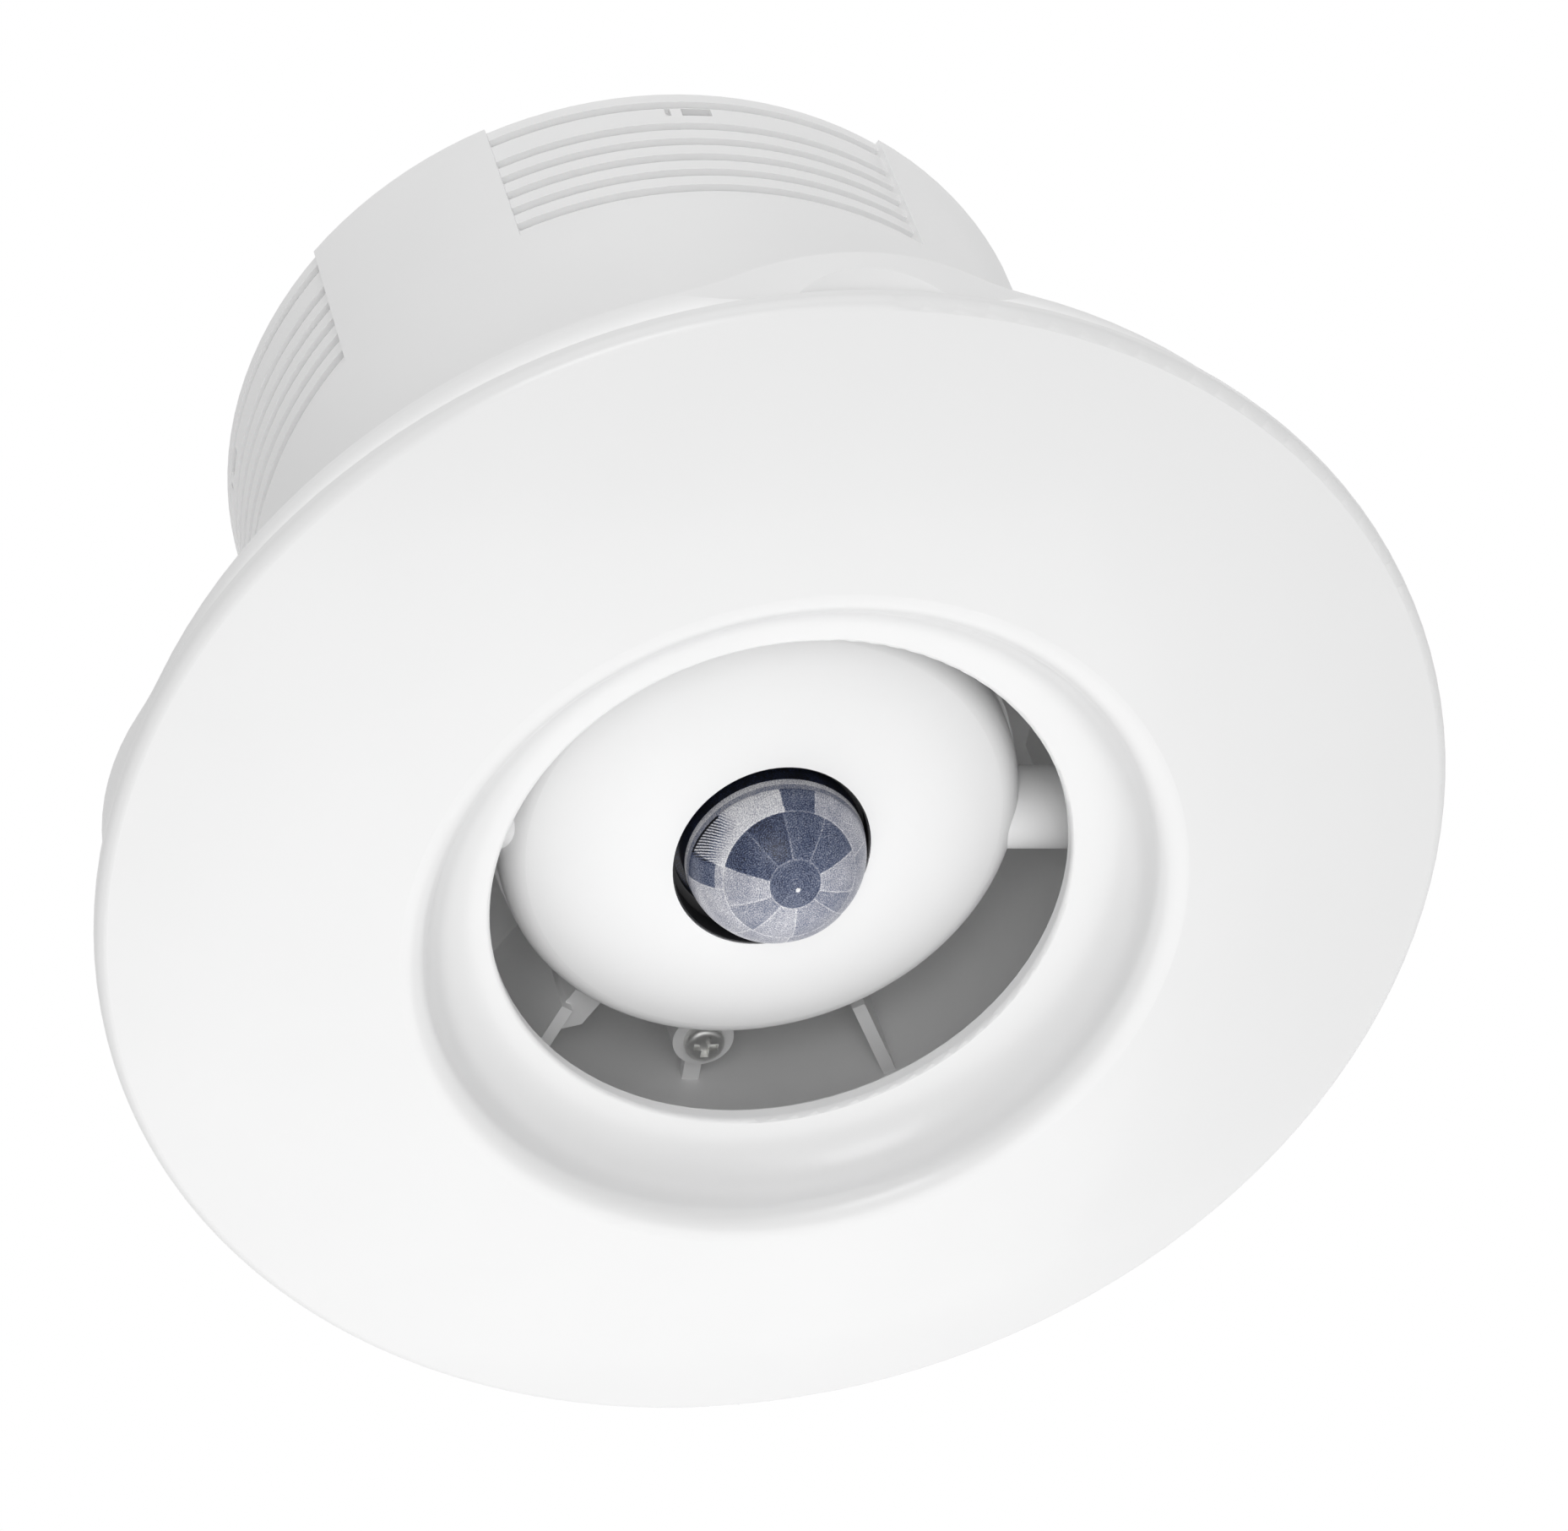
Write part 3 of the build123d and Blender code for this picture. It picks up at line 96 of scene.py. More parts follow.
def noise(tree, place, scale, detail, **others):
    """The grey value of a noise at a place."""
    links = {"Vector": place, "Scale": scale, "Detail": detail, **others}
    return put(tree, "ShaderNodeTexNoise", links).outputs["Fac"]


def blend(tree, amount, colour, deep):
    """A colour that goes over to a deeper one as a value rises."""
    links = {"Factor": amount, "A": (*colour, 1), "B": (*deep, 1)}
    return put(tree, "ShaderNodeMix", links, data_type="RGBA").outputs[2]


def object_place(tree):
    """The place of a point on the object, in metres."""
    return put(tree, "ShaderNodeTexCoord").outputs["Object"]


print("helpers:", [f.__name__ for f in (put, calc, noise, blend, object_place)])

# %% [markdown]
# Every material starts in the same way too, with a shader that already reaches the output. Its colour in
# the plain viewport is set as well. Otherwise every piece would be the same grey there.

# %% Start a material
def new_material(name, colour):
    """A material with its node tree and its shader. The colour is what the plain viewport shows."""
    material = bpy.data.materials.new(name)
    material.use_nodes = True
    material.diffuse_color = (*colour, 1)
    return material, material.node_tree, material.node_tree.nodes["Principled BSDF"]


finished = set()


def finish_in(material, *names):
    """Gives solids a finish, and notes that they have one."""
    for name in names:
        data = nodes[name].data
        data.materials.clear()
        data.materials.append(material)
    finished.update(names)


print("solids to be finished:", len(nodes))

# %% [markdown]
# ## Shared effects
# Some effects are on many pieces at different scales: the mould's texture is on every plastic piece, and
# fine waves are both the grooves and the comb of the lens. Each could be built again in every material.
# Instead each is a node group with named inputs, built once and placed with its own values. The groups
# put out only values. Shaders stay in the materials.

# %% Make and place a group
FLOAT = "NodeSocketFloat"


def new_group(name, inputs, outputs):
    """A shader node group with its sockets, and the two nodes that stand for them."""
    group = bpy.data.node_groups.new(name, "ShaderNodeTree")
    for label, value in inputs.items():
        socket = group.interface.new_socket(name=label, in_out="INPUT", socket_type=FLOAT)
        socket.default_value = value
    for label in outputs:
        group.interface.new_socket(name=label, in_out="OUTPUT", socket_type=FLOAT)
    return group, group.nodes.new("NodeGroupInput").outputs, group.nodes.new("NodeGroupOutput").inputs


def group_node(tree, group, **values):
    """Places a group and sets its inputs. A name has an underscore where the socket has a space."""
    links = {key.replace("_", " "): value for key, value in values.items()}
    return put(tree, "ShaderNodeGroup", links, node_tree=group).outputs


print("helpers:", [f.__name__ for f in (new_group, group_node)])

# %% [markdown]
# ### Moulded grain
# Moulded plastic is never one flat colour. It has a faint cloudiness from the flow of the melt, and a
# grain from the mould, whose walls are spark eroded. Two noises of different sizes make them: the fine
# one is the grain, a tenth of a millimetre or more across, and the coarse one is the slow change in tone
# and gloss over a large wall.

# %% Moulded grain group
def moulded_grain():
    sizes = {"Grain Size": 0.12, "Flow Size": 14.0, "Gloss": 0.4, "Gloss Change": 0.05}
    group, given, result = new_group("moulded_grain", sizes, ("Height", "Roughness", "Flow"))
    factor = (MM_PER_METRE,) * 3
    in_mm = put(group, "ShaderNodeVectorMath", {0: object_place(group), 1: factor}, operation="MULTIPLY")
    grain = noise(group, in_mm.outputs[0], calc(group, "DIVIDE", 1.0, given["Grain Size"]), 2.0)
    flow = noise(group, in_mm.outputs[0], calc(group, "DIVIDE", 1.0, given["Flow Size"]), 3.0)
    change = calc(group, "MULTIPLY", calc(group, "SUBTRACT", flow, 0.5), given["Gloss Change"])
    group.links.new(grain, result["Height"])
    group.links.new(calc(group, "ADD", change, given["Gloss"]), result["Roughness"])
    group.links.new(flow, result["Flow"])
    return group


GRAIN = moulded_grain()
print("group:", GRAIN.name, [s.name for s in GRAIN.interface.items_tree])

# %% [markdown]
# ### Fine waves
# A wave of an angle gives lines at even steps of that angle. A wave texture could draw lines too, but
# only along an axis or about a point in space, and the lines on the lens follow angles. Cut lines are
# never quite even, so a soft noise pushes each line a little to one side and back.

# %% Fine waves group
SWAY_SCALE = 1400.0


def fine_waves():
    group, given, result = new_group("fine_waves", {"Angle": 0.0, "Rate": 1.0, "Sway": 0.0}, ("Wave",))
    sway = noise(group, object_place(group), SWAY_SCALE, 1.0)
    along = calc(group, "MULTIPLY", given["Angle"], given["Rate"])
    aside = calc(group, "MULTIPLY", sway, given["Sway"])
    group.links.new(calc(group, "SINE", calc(group, "ADD", along, aside)), result["Wave"])
    return group


WAVES = fine_waves()
print("group:", WAVES.name, [s.name for s in WAVES.interface.items_tree])

# %% [markdown]
# ## White mouldings
# The cover, ring, can and head are moulded in a white plastic, but not in one gloss: the cover is the
# glossiest, the head is softer and the can is the plainest. One function makes them all, with its own
# values for each piece. The colour moves a little with the flow of the melt, and the grain is a bump far
# too fine to see as bumps: it breaks up the highlight, as the real grain does.

# %% Plastic
GLOSS_CHANGE = 0.06
GRAIN_STRENGTH = 0.25
COAT_ROUGHNESS = 0.12


def plastic(name, colour, deep, gloss, grain=0.12, bump=0.012, coat=0.0):
    """Moulded plastic with a colour that drifts towards a deeper one. Grain and bump are in mm."""
    material, tree, shader = new_material(name, colour)
    texture = group_node(tree, GRAIN, Grain_Size=grain, Gloss=gloss, Gloss_Change=GLOSS_CHANGE)
    relief = {"Height": texture["Height"], "Strength": GRAIN_STRENGTH, "Distance": bump * MM}
    normal = put(tree, "ShaderNodeBump", relief).outputs["Normal"]
    tree.links.new(blend(tree, texture["Flow"], colour, deep), shader.inputs["Base Color"])
    tree.links.new(texture["Roughness"], shader.inputs["Roughness"])
    tree.links.new(normal, shader.inputs["Normal"])
    shader.inputs["Coat Weight"].default_value = coat
    shader.inputs["Coat Roughness"].default_value = COAT_ROUGHNESS
    return material


def white(name, tone, deep, gloss, **others):
    """Plastic of a neutral white."""
    return plastic(name, (tone, tone, tone), (deep, deep, deep), gloss, **others)


print("plastic gloss drifts by", GLOSS_CHANGE)

# %% [markdown]
# ### The white pieces
# The cover's mould is polished, so the cover has the smallest bump and a faint clear coat. The can's and
# the drum's moulds are rougher, since nobody looks at those. One white for all would be simpler, but
# where two pieces meet they would melt into each other.

# %% White pieces
finish_in(white("cover_white", 0.82, 0.80, 0.34, grain=0.3, bump=0.004, coat=0.15), "front_cover")
finish_in(white("head_white", 0.90, 0.88, 0.48, grain=0.15, bump=0.01), "head_shell")
finish_in(white("ring_white", 0.86, 0.84, 0.42), "mounting_ring")
can_white = white("can_white", 0.88, 0.85, 0.50, grain=0.2, bump=0.02)
finish_in(can_white, "housing_body", "rear_cap", "wiring_cover", "cable_clamp")
drum_white = white("drum_white", 0.90, 0.88, 0.42, grain=0.25, bump=0.02)
finish_in(drum_white, "swivel_ring", "back_plate", "head_back")
print("white mouldings finished: 10 nodes")

# %% [markdown]
# ## Metals
# Screws are zinc plated: pale grey and only softly bright, with a mottle from the plating bath. Turned
# and drawn pieces, such as the pins and the spring ring, have fine lines from the tool. One noise makes
# both: even, it is the mottle, and stretched along one axis, it makes the lines.

# %% Metal
GLOSS_SPREAD = (-0.07, 0.09)
MOTTLE_SIZE = 0.5
MOTTLE_STRENGTH = 0.2
MOTTLE_DEPTH = 0.01 * MM


def metal(name, colour, deep, gloss, stretch=(1, 1, 1)):
    """Metal whose gloss and tone change in a mottle, or in lines where the noise is stretched."""
    material, tree, shader = new_material(name, colour)
    per_mottle = tuple(MM_PER_METRE * s / MOTTLE_SIZE for s in stretch)
    scaled = put(tree, "ShaderNodeMapping", {"Vector": object_place(tree), "Scale": per_mottle})
    mottle = noise(tree, scaled.outputs[0], 1.0, 3.0)
    spread = {"Value": mottle, "To Min": gloss + GLOSS_SPREAD[0], "To Max": gloss + GLOSS_SPREAD[1]}
    relief = {"Height": mottle, "Strength": MOTTLE_STRENGTH, "Distance": MOTTLE_DEPTH}
    normal = put(tree, "ShaderNodeBump", relief).outputs["Normal"]
    tree.links.new(blend(tree, mottle, colour, deep), shader.inputs["Base Color"])
    tree.links.new(put(tree, "ShaderNodeMapRange", spread).outputs[0], shader.inputs["Roughness"])
    tree.links.new(normal, shader.inputs["Normal"])
    shader.inputs["Metallic"].default_value = 1.0
    return material


print("metal mottle, mm:", MOTTLE_SIZE)

# %% [markdown]
# ### The metal pieces
# Only one screw shows, deep beside the head. The rest is inside, and is seen when the object is taken
# apart. A polished screw would be nearer to a new one, but it would mirror the dark gap and look black.
# So the zinc is rough enough to gather light from all round.

# %% Metal pieces
zinc = metal("zinc_plate", (0.88, 0.88, 0.86), (0.74, 0.74, 0.73), 0.46)
spring = metal("spring_steel", (0.52, 0.53, 0.55), (0.38, 0.39, 0.41), 0.34, stretch=(1, 1, 9))
ground = metal("ground_steel", (0.72, 0.72, 0.73), (0.60, 0.60, 0.62), 0.20, stretch=(9, 1, 1))
brass = metal("spring_brass", (0.74, 0.58, 0.30), (0.60, 0.45, 0.21), 0.30)
nickel = metal("nickel_can", (0.74, 0.73, 0.70), (0.62, 0.61, 0.59), 0.18)
core = metal("varnished_core", (0.16, 0.16, 0.17), (0.09, 0.09, 0.10), 0.45, stretch=(1, 6, 1))
finish_in(zinc, "flange_screws", "swivel_screws", "head_screws", "board_screws", "terminal_screws")
finish_in(zinc, "wiring_cover_screws", "cable_clamp_screws")
finish_in(spring, "snap_ring")
finish_in(ground, "pivot_pins")
finish_in(brass, "friction_washers")
finish_in(nickel, "pir_detector")
finish_in(core, "transformer")
print("metal pieces finished: 12 nodes")

# %% [markdown]
# ## What is on the boards, and the small soft pieces
# These are hidden in use, and show when the object is taken apart. Each keeps the colour its kind has:
# blue for relays and varistors, yellow for film capacitors, ivory for plugs and green for boards. The
# lacquered ones have a coat, which is a clear skin on the shader.

# %% Boards and what is on them
board_green = plastic("board_green", (0.03, 0.20, 0.08), (0.02, 0.14, 0.06), 0.28, 0.5, 0.03, coat=0.4)
part_black = plastic("part_black", (0.030, 0.030, 0.032), (0.018, 0.018, 0.020), 0.55, 0.1, 0.03)
relay_blue = plastic("relay_blue", (0.05, 0.14, 0.40), (0.04, 0.11, 0.33), 0.42)
film_yellow = plastic("film_yellow", (0.70, 0.52, 0.10), (0.62, 0.45, 0.08), 0.32)
sleeve_black = plastic("sleeve_black", (0.04, 0.04, 0.06), (0.02, 0.02, 0.03), 0.26, coat=0.4)
varistor_blue = plastic("varistor_blue", (0.07, 0.18, 0.48), (0.05, 0.13, 0.38), 0.30)
terminal_grey = plastic("terminal_grey", (0.42, 0.43, 0.44), (0.36, 0.37, 0.38), 0.46)
plug_ivory = plastic("plug_ivory", (0.76, 0.71, 0.58), (0.70, 0.65, 0.52), 0.44)
finish_in(board_green, "power_board", "head_board")
finish_in(part_black, "control_chip", "remote_receiver", "fuse")
finish_in(relay_blue, "relay")
finish_in(film_yellow, "film_capacitor")
finish_in(sleeve_black, "smoothing_capacitors")
finish_in(varistor_blue, "varistor")
finish_in(terminal_grey, "terminal_block")
finish_in(plug_ivory, "head_plug", "board_plug")
print("board pieces finished: 12 nodes")

# %% [markdown]
# ### Windows, rubber and felt
# The detector's window and the light sensor are dark and clear plastics. They could be real glass, but
# nothing behind them is worth seeing, and a glossy coat over a dark colour looks the same. Rubber and
# felt have no coat and a rough face, and the felt's bump is deep enough for fibres.

# %% Windows, rubber and felt
led_red = plastic("led_red", (0.55, 0.06, 0.05), (0.42, 0.03, 0.03), 0.22, coat=0.5)
sensor_clear = plastic("sensor_clear", (0.42, 0.40, 0.34), (0.34, 0.32, 0.27), 0.16, coat=0.6)
window_dark = plastic("window_dark", (0.05, 0.04, 0.05), (0.03, 0.02, 0.03), 0.12, coat=0.6)
bezel_black = plastic("bezel_black", (0.020, 0.020, 0.022), (0.012, 0.012, 0.013), 0.50, 0.15, 0.02)
rubber_black = plastic("rubber_black", (0.055, 0.055, 0.055), (0.035, 0.035, 0.035), 0.72, 0.2, 0.04)
felt_grey = plastic("felt_grey", (0.24, 0.24, 0.25), (0.12, 0.12, 0.13), 0.95, 0.25, 0.25)
finish_in(led_red, "status_led")
finish_in(sensor_clear, "daylight_sensor")
finish_in(window_dark, "detector_window")
finish_in(bezel_black, "lens_bezel", "lens_retainer")
finish_in(rubber_black, "cable_grommet")
finish_in(felt_grey, "felt_ring")
print("nodes without a finish so far:", sorted(set(nodes) - finished))

# %% [markdown]
# ## The lens
# The lens is a thin dome that gathers the warmth of a person from many directions at once. It does that
# with facets: a round one at the front, a ring of sectors round it and a second ring behind. Each facet
# is its own Fresnel lens, so it is covered in fine round grooves about its own centre, and each shows its
# own shade of blue-grey, because each bends the dark inside of the head towards the eye at another angle.
# It could be one smooth dome with a painted pattern, but then the facets would have no edges and the
# grooves no relief. So the dome is built as a fine mesh: the height of each point comes from the facet it
# lies in.

# %% Where the lens is
REST_TILT = math.radians(1.5)
PIVOT = Vector((0, 0, 4.5)) * MM
LENS_RADIUS = 8.2 * MM
BALL = Vector((0.4, 0, -6.4)) * MM
FLANGE_RADIUS = 10.2 * MM
FLANGE_FRONT = -4.3 * MM
LENS_WALL = 0.8 * MM
FACET_LEAN = math.radians(16)

head_place = Matrix.Translation(PIVOT) @ Matrix.Rotation(REST_TILT, 4, "X")
facet_line = Vector((0, -math.sin(FACET_LEAN), -math.cos(FACET_LEAN)))
facet_east = Vector((1, 0, 0))
facet_north = facet_east.cross(facet_line)
lean = round(math.degrees(FACET_LEAN))
print("ball centre behind the front, mm:", round(-BALL.z / MM, 1), "facets lean, degrees:", lean)

# %% [markdown]
# ### The facets
# Angles are measured from the facets' own line and round it. Each ring holds sectors, given by the angle
# each starts at and how bright it is, from 0 for black to 1 for white. The moulded facets stop short of
# the dome's foot, where a plain band and a pale band run round, and the side beyond them is painted dark,
# as the shade of the gap. One outer facet is pale only in its outer part.

# %% Facet rings and shades
DISC_EDGE = 16.5
INNER_EDGE = 47.0
FOOT_START = 80.0
PALE_EDGE = (83.5, 88.5)
INNER_SECTORS = (
    (-173, 0.355), (-136, 0.31), (-101, 0.405), (-63, 0.405), (-23, 0.665),
    (15, 0.59), (38, 0.635), (82, 0.72), (118, 0.60), (150, 0.71),
)
OUTER_SECTORS = (
    (-174, 0.86), (-99.5, 0.43), (-73, 0.69), (-17, 0.665),
    (38, 0.67), (84, 0.72), (120, 0.745), (166, 0.41),
)
DISC_SHADE = 0.41
FOOT_SHADE = 0.58
PALE_SHADE = 0.82
# The lens's side in the gap, and its unseen inside, are painted this dark as their shade.
PAINTED_SHADOW_DARK = 0.12
BLUE_PATCH = 7
BLUE_PATCH_START = 53.5
print("facets:", 1 + len(INNER_SECTORS) + len(OUTER_SECTORS))

# %% [markdown]
# A direction from the ball's centre is turned into two angles: how far it is from the facets' line, and
# its turn round that line. A third says how far in front of the foot it is. The foot is square to the
# head and the facets lean, so the outer facets are cut off at a slant, as they are on the real lens.

# %% Angles of a direction
def facet_angles(direction):
    """The angle of a direction from the facets' line, and its turn round it, in degrees."""
    away = math.degrees(direction.angle(facet_line, 0.0))
    return away, math.degrees(math.atan2(direction.dot(facet_north), direction.dot(facet_east)))


def on_ball(away, turn):
    """The direction at an angle from the facets' line and a turn round it, in degrees."""
    a, t = math.radians(away), math.radians(turn)
    return facet_line * math.cos(a) + (facet_east * math.cos(t) + facet_north * math.sin(t)) * math.sin(a)


def above_foot(direction):
    """How many degrees a direction lies in front of the line where the facets stop."""
    return FOOT_START - math.degrees(math.acos(max(-1.0, min(1.0, -direction.z))))


print("facets' line to the foot, degrees:", round(above_foot(facet_line), 1))

# %% [markdown]
# The angles pick the ring, and then the sector in it. A painted map could hold the facets too, but it
# would blur from near by, and angles don't. The distance to the nearest edge comes out of the same
# angles, and later draws the seams.

# %% Find the facet
NO_EDGE = 90.0


def sector_of(sectors, turn):
    """The index of the sector that a turn lies in, how far into it the turn is, and how wide it is."""
    starts = [start for start, _ in sectors]
    index = max((i for i, start in enumerate(starts) if turn >= start), default=len(starts) - 1)
    span = (starts[(index + 1) % len(starts)] - starts[index]) % 360.0
    return index, (turn - starts[index]) % 360.0, span


def foot_shade(from_axis):
    """The shade of the dome's foot: a band, then the pale edge, then the side, painted dark as shade."""
    if from_axis <= PALE_EDGE[0]:
        return FOOT_SHADE
    return PALE_SHADE if from_axis < PALE_EDGE[1] else PAINTED_SHADOW_DARK


def facet_at(direction):
    """Shade, centre and nearest edge of the facet that a direction from the ball's centre meets."""
    away, turn = facet_angles(direction)
    before_foot = above_foot(direction)
    if away < DISC_EDGE:
        return DISC_SHADE, (0.0, 0.0), DISC_EDGE - away
    if before_foot < 0:
        return foot_shade(FOOT_START - before_foot), None, NO_EDGE
    inner = away < INNER_EDGE
    sectors = INNER_SECTORS if inner else OUTER_SECTORS
    low, high = (DISC_EDGE, INNER_EDGE) if inner else (INNER_EDGE, FOOT_START)
    index, into, span = sector_of(sectors, turn)
    shade = sectors[index][1]
    if not inner and index == BLUE_PATCH and away < BLUE_PATCH_START:
        shade = INNER_SECTORS[-1][1]
    side = min(into, span - into) * math.sin(math.radians(away))
    centre = ((low + high) / 2, sectors[index][0] + span / 2)
    return shade, centre, min(away - low, side, before_foot, high - away if inner else NO_EDGE)


print("shade on the facets' line:", facet_at(facet_line)[0], "shade at the foot:", foot_shade(90.0))

# %% [markdown]
# ### The dome's points
# Some values go with each point, as attributes that the material reads: the facet's shade, the angle to
# its facet's centre, from which the grooves are drawn, the seam, and the turn and strength of a comb of
# fine lines of painted shade, where the grooves of one outer facet are seen edge on. Along its outer edge
# the comb gets a painted shadow. The seams are real dents, each facet has a low crown, and near the middle
# a small white dot stands a little proud.

# %% A point of the dome
SEAM_WIDTH = 0.8
SEAM_DEPTH = 0.035 * MM
CROWN = 0.05 * MM
CROWN_REACH = 22.0
PIP = (3.3, 66.0)
PIP_SIZE = 1.5
PIP_SHADE = 1.0
PIP_HEIGHT = 0.06 * MM
COMB_TURNS = (-178.0, -136.0)
COMB_ENDS = (5.0, 14.0)
COMB_START = 50.0
COMB_RISE = 14.0
COMB_SKEW = 0.45
# The painted shadow along the comb's outer edge: its width in degrees, the comb strength it needs, and its
# tone.
COMB_EDGE = 2.2
COMB_EDGE_FROM = 0.6
COMB_EDGE_SHADOW_TONE = 0.04
POINT_VALUES = ("shade", "reach", "seam", "turn", "comb")


def comb_strength(away, turn):
    """How strong the comb's lines of painted shade are: none inside, full at the facet's outer edge."""
    first = (turn - COMB_TURNS[0]) / COMB_ENDS[0]
    last = (COMB_TURNS[1] - turn) / COMB_ENDS[1]
    rise = (away - COMB_START) / COMB_RISE
    return min(1.0, max(0.0, first), max(0.0, last)) * min(1.0, max(0.0, rise))


def dome_point(direction):
    """A point of the outer skin, with its facet's crown and its seam's dent, and its values."""
    shade, centre, edge = facet_at(direction)
    away, turn = facet_angles(direction)
    seam = reach = lift = comb = 0.0
    if centre is not None:
        seam = max(0.0, 1 - edge / SEAM_WIDTH)
        reach = math.degrees(direction.angle(on_ball(*centre), 0.0))
        lift = CROWN * (1 - min(1.0, (reach / CROWN_REACH) ** 2))
        comb = comb_strength(away, turn)
        # A painted shadow along the comb's outer edge.
        if comb > COMB_EDGE_FROM and above_foot(direction) < COMB_EDGE:
            shade = COMB_EDGE_SHADOW_TONE
    pip = math.degrees(direction.angle(on_ball(*PIP), 0.0)) / PIP_SIZE
    if pip < 1.0:
        shade, lift, reach = PIP_SHADE, lift + PIP_HEIGHT * (1 - pip * pip), 0.0
    radius = LENS_RADIUS - CROWN - PIP_HEIGHT + lift - SEAM_DEPTH * seam
    return BALL + direction * radius, (shade, reach, seam, turn + COMB_SKEW * away, comb)


print("values with each point:", POINT_VALUES)

# %% [markdown]
# ### Round meshes
# The lens and the ring round it are both turned shapes. A screw modifier on a profile could turn them,
# but it can't carry a value for each point, and can't stretch a part of the shape. So rings of points are
# made in order, and each ring is joined to the next.

# %% Turn a profile into a mesh
def around(count):
    """Evenly spaced turns of a full circle, in radians."""
    return [2 * math.pi * j / count for j in range(count)]


def lathe_rows(profile, count, centre, add, longer=0.0):
    """Rings of points, one for each radius and height of a profile, made longer along Y by one amount."""
    rows = []
    for radius, height in profile:
        along = radius + longer
        ring = [(centre[0] + radius * math.cos(t), centre[1] + along * math.sin(t)) for t in around(count)]
        rows.append([add((x, y, height)) for x, y in ring])
    return rows


def skin(mesh, rows, closed=False):
    """Faces between rings of points, and from the last ring to the first where the profile is closed."""
    for low, high in list(zip(rows, rows[1:])) + ([(rows[-1], rows[0])] if closed else []):
        for j in range(len(low)):
            k = (j + 1) % len(low)
            mesh.faces.new((low[j], high[j], high[k], low[k]))


print("helpers:", [f.__name__ for f in (around, lathe_rows, skin)])

# %% [markdown]
# A mesh only becomes part of the object when it says which body it moves with and which solid it stands
# in for. Both new pieces ride on the head, so they tilt and turn with it.

# %% Make a piece of a mesh
def scene_piece(name, mesh, body, slot, replaced, angle):
    """Turns a mesh into a piece that rides on a body in place of a solid."""
    bmesh.ops.recalc_face_normals(mesh, faces=mesh.faces)
    data = bpy.data.meshes.new(name)
    mesh.to_mesh(data)
    mesh.free()
    piece = bpy.data.objects.new(name, data)
    bpy.context.scene.collection.objects.link(piece)
    shade_by_angle(piece, angle)
    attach(piece, body)
    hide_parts(replaced)
    return piece


print("helper:", scene_piece.__name__)

# %% [markdown]
# ### The lens itself
# The outer skin is made ring by ring from the front to the foot. Then the same shape goes on over a short
# barrel and a flat flange, and back up inside, so the lens is a closed wall and not a bare skin. It is
# drawn square to the head, and the head's tilt at rest is put into its points at the end.

# %% Build the lens
RINGS = 190
LENS_AROUND = 540
INSIDE_STEPS = range(84, 0, -6)
LENS_SHARP_ANGLE = math.radians(40)


def outer_skin(add):
    """The rings of points of the lens's outer skin, from its front to its foot."""
    rows = []
    for i in range(1, RINGS + 1):
        pole = math.pi / 2 * i / RINGS
        flat, deep = math.sin(pole), -math.cos(pole)
        ring = [Vector((flat * math.cos(t), flat * math.sin(t), deep)) for t in around(LENS_AROUND)]
        rows.append([add(*dome_point(direction)) for direction in ring])
    return rows


def build_lens():
    mesh = bmesh.new()
    layers = [mesh.verts.layers.float.new(name) for name in POINT_VALUES]

    def add(point, values=(PAINTED_SHADOW_DARK, 0.0, 0.0, 0.0, 0.0)):
        vert = mesh.verts.new(point)
        for layer, value in zip(layers, values):
            vert[layer] = value
        return vert

    back = FLANGE_FRONT + LENS_WALL
    inside = LENS_RADIUS - LENS_WALL
    steps = [math.radians(a) for a in INSIDE_STEPS]
    cavity = [(inside * math.sin(a), BALL.z - inside * math.cos(a)) for a in steps]
    barrel = [(LENS_RADIUS - CROWN - PIP_HEIGHT, FLANGE_FRONT)]
    flange = [(FLANGE_RADIUS, FLANGE_FRONT), (FLANGE_RADIUS, back)]
    rows = outer_skin(add)
    rows += lathe_rows(barrel, LENS_AROUND, BALL, add)
    rows += lathe_rows(flange, LENS_AROUND, (0, 0), add)
    rows += lathe_rows([(inside, back), (inside, BALL.z)] + cavity, LENS_AROUND, BALL, add)
    skin(mesh, rows)
    front = add(*dome_point(Vector((0, 0, -1))))
    rear = add(BALL + Vector((0, 0, -inside)))
    for j in range(LENS_AROUND):
        k = (j + 1) % LENS_AROUND
        mesh.faces.new((front, rows[0][j], rows[0][k]))
        mesh.faces.new((rear, rows[-1][k], rows[-1][j]))
    mesh.transform(head_place)
    return scene_piece("faceted_lens", mesh, "head", "lens_blue_grey", "fresnel_lens", LENS_SHARP_ANGLE)


lens = build_lens()
print("lens points:", len(lens.data.vertices))

# %% [markdown]
# ### The black ring round the lens
# The hole in the head is a little longer than it is wide, and a black liner stands in it, so the lens
# seems to float in a dark gap. The imported ring is only the flat part behind the gap. The liner stands in
# the hole up to just below the head's surface, with a thin rounded front. A round liner would leave a
# white sliver at each end of the hole, so its rings of points are stretched along the hole.

# %% Build the black ring
LINER_OUTER = 8.83 * MM
LINER_INNER = 8.67 * MM
LINER_LONGER = 0.95 * MM
LINER_FRONT = -7.12 * MM
RING_FRONT = -5.0 * MM
RING_GAP = 0.2 * MM
RING_AROUND = 144
NOSE_STEPS = range(0, 181, 30)
RING_SHARP_ANGLE = math.radians(35)


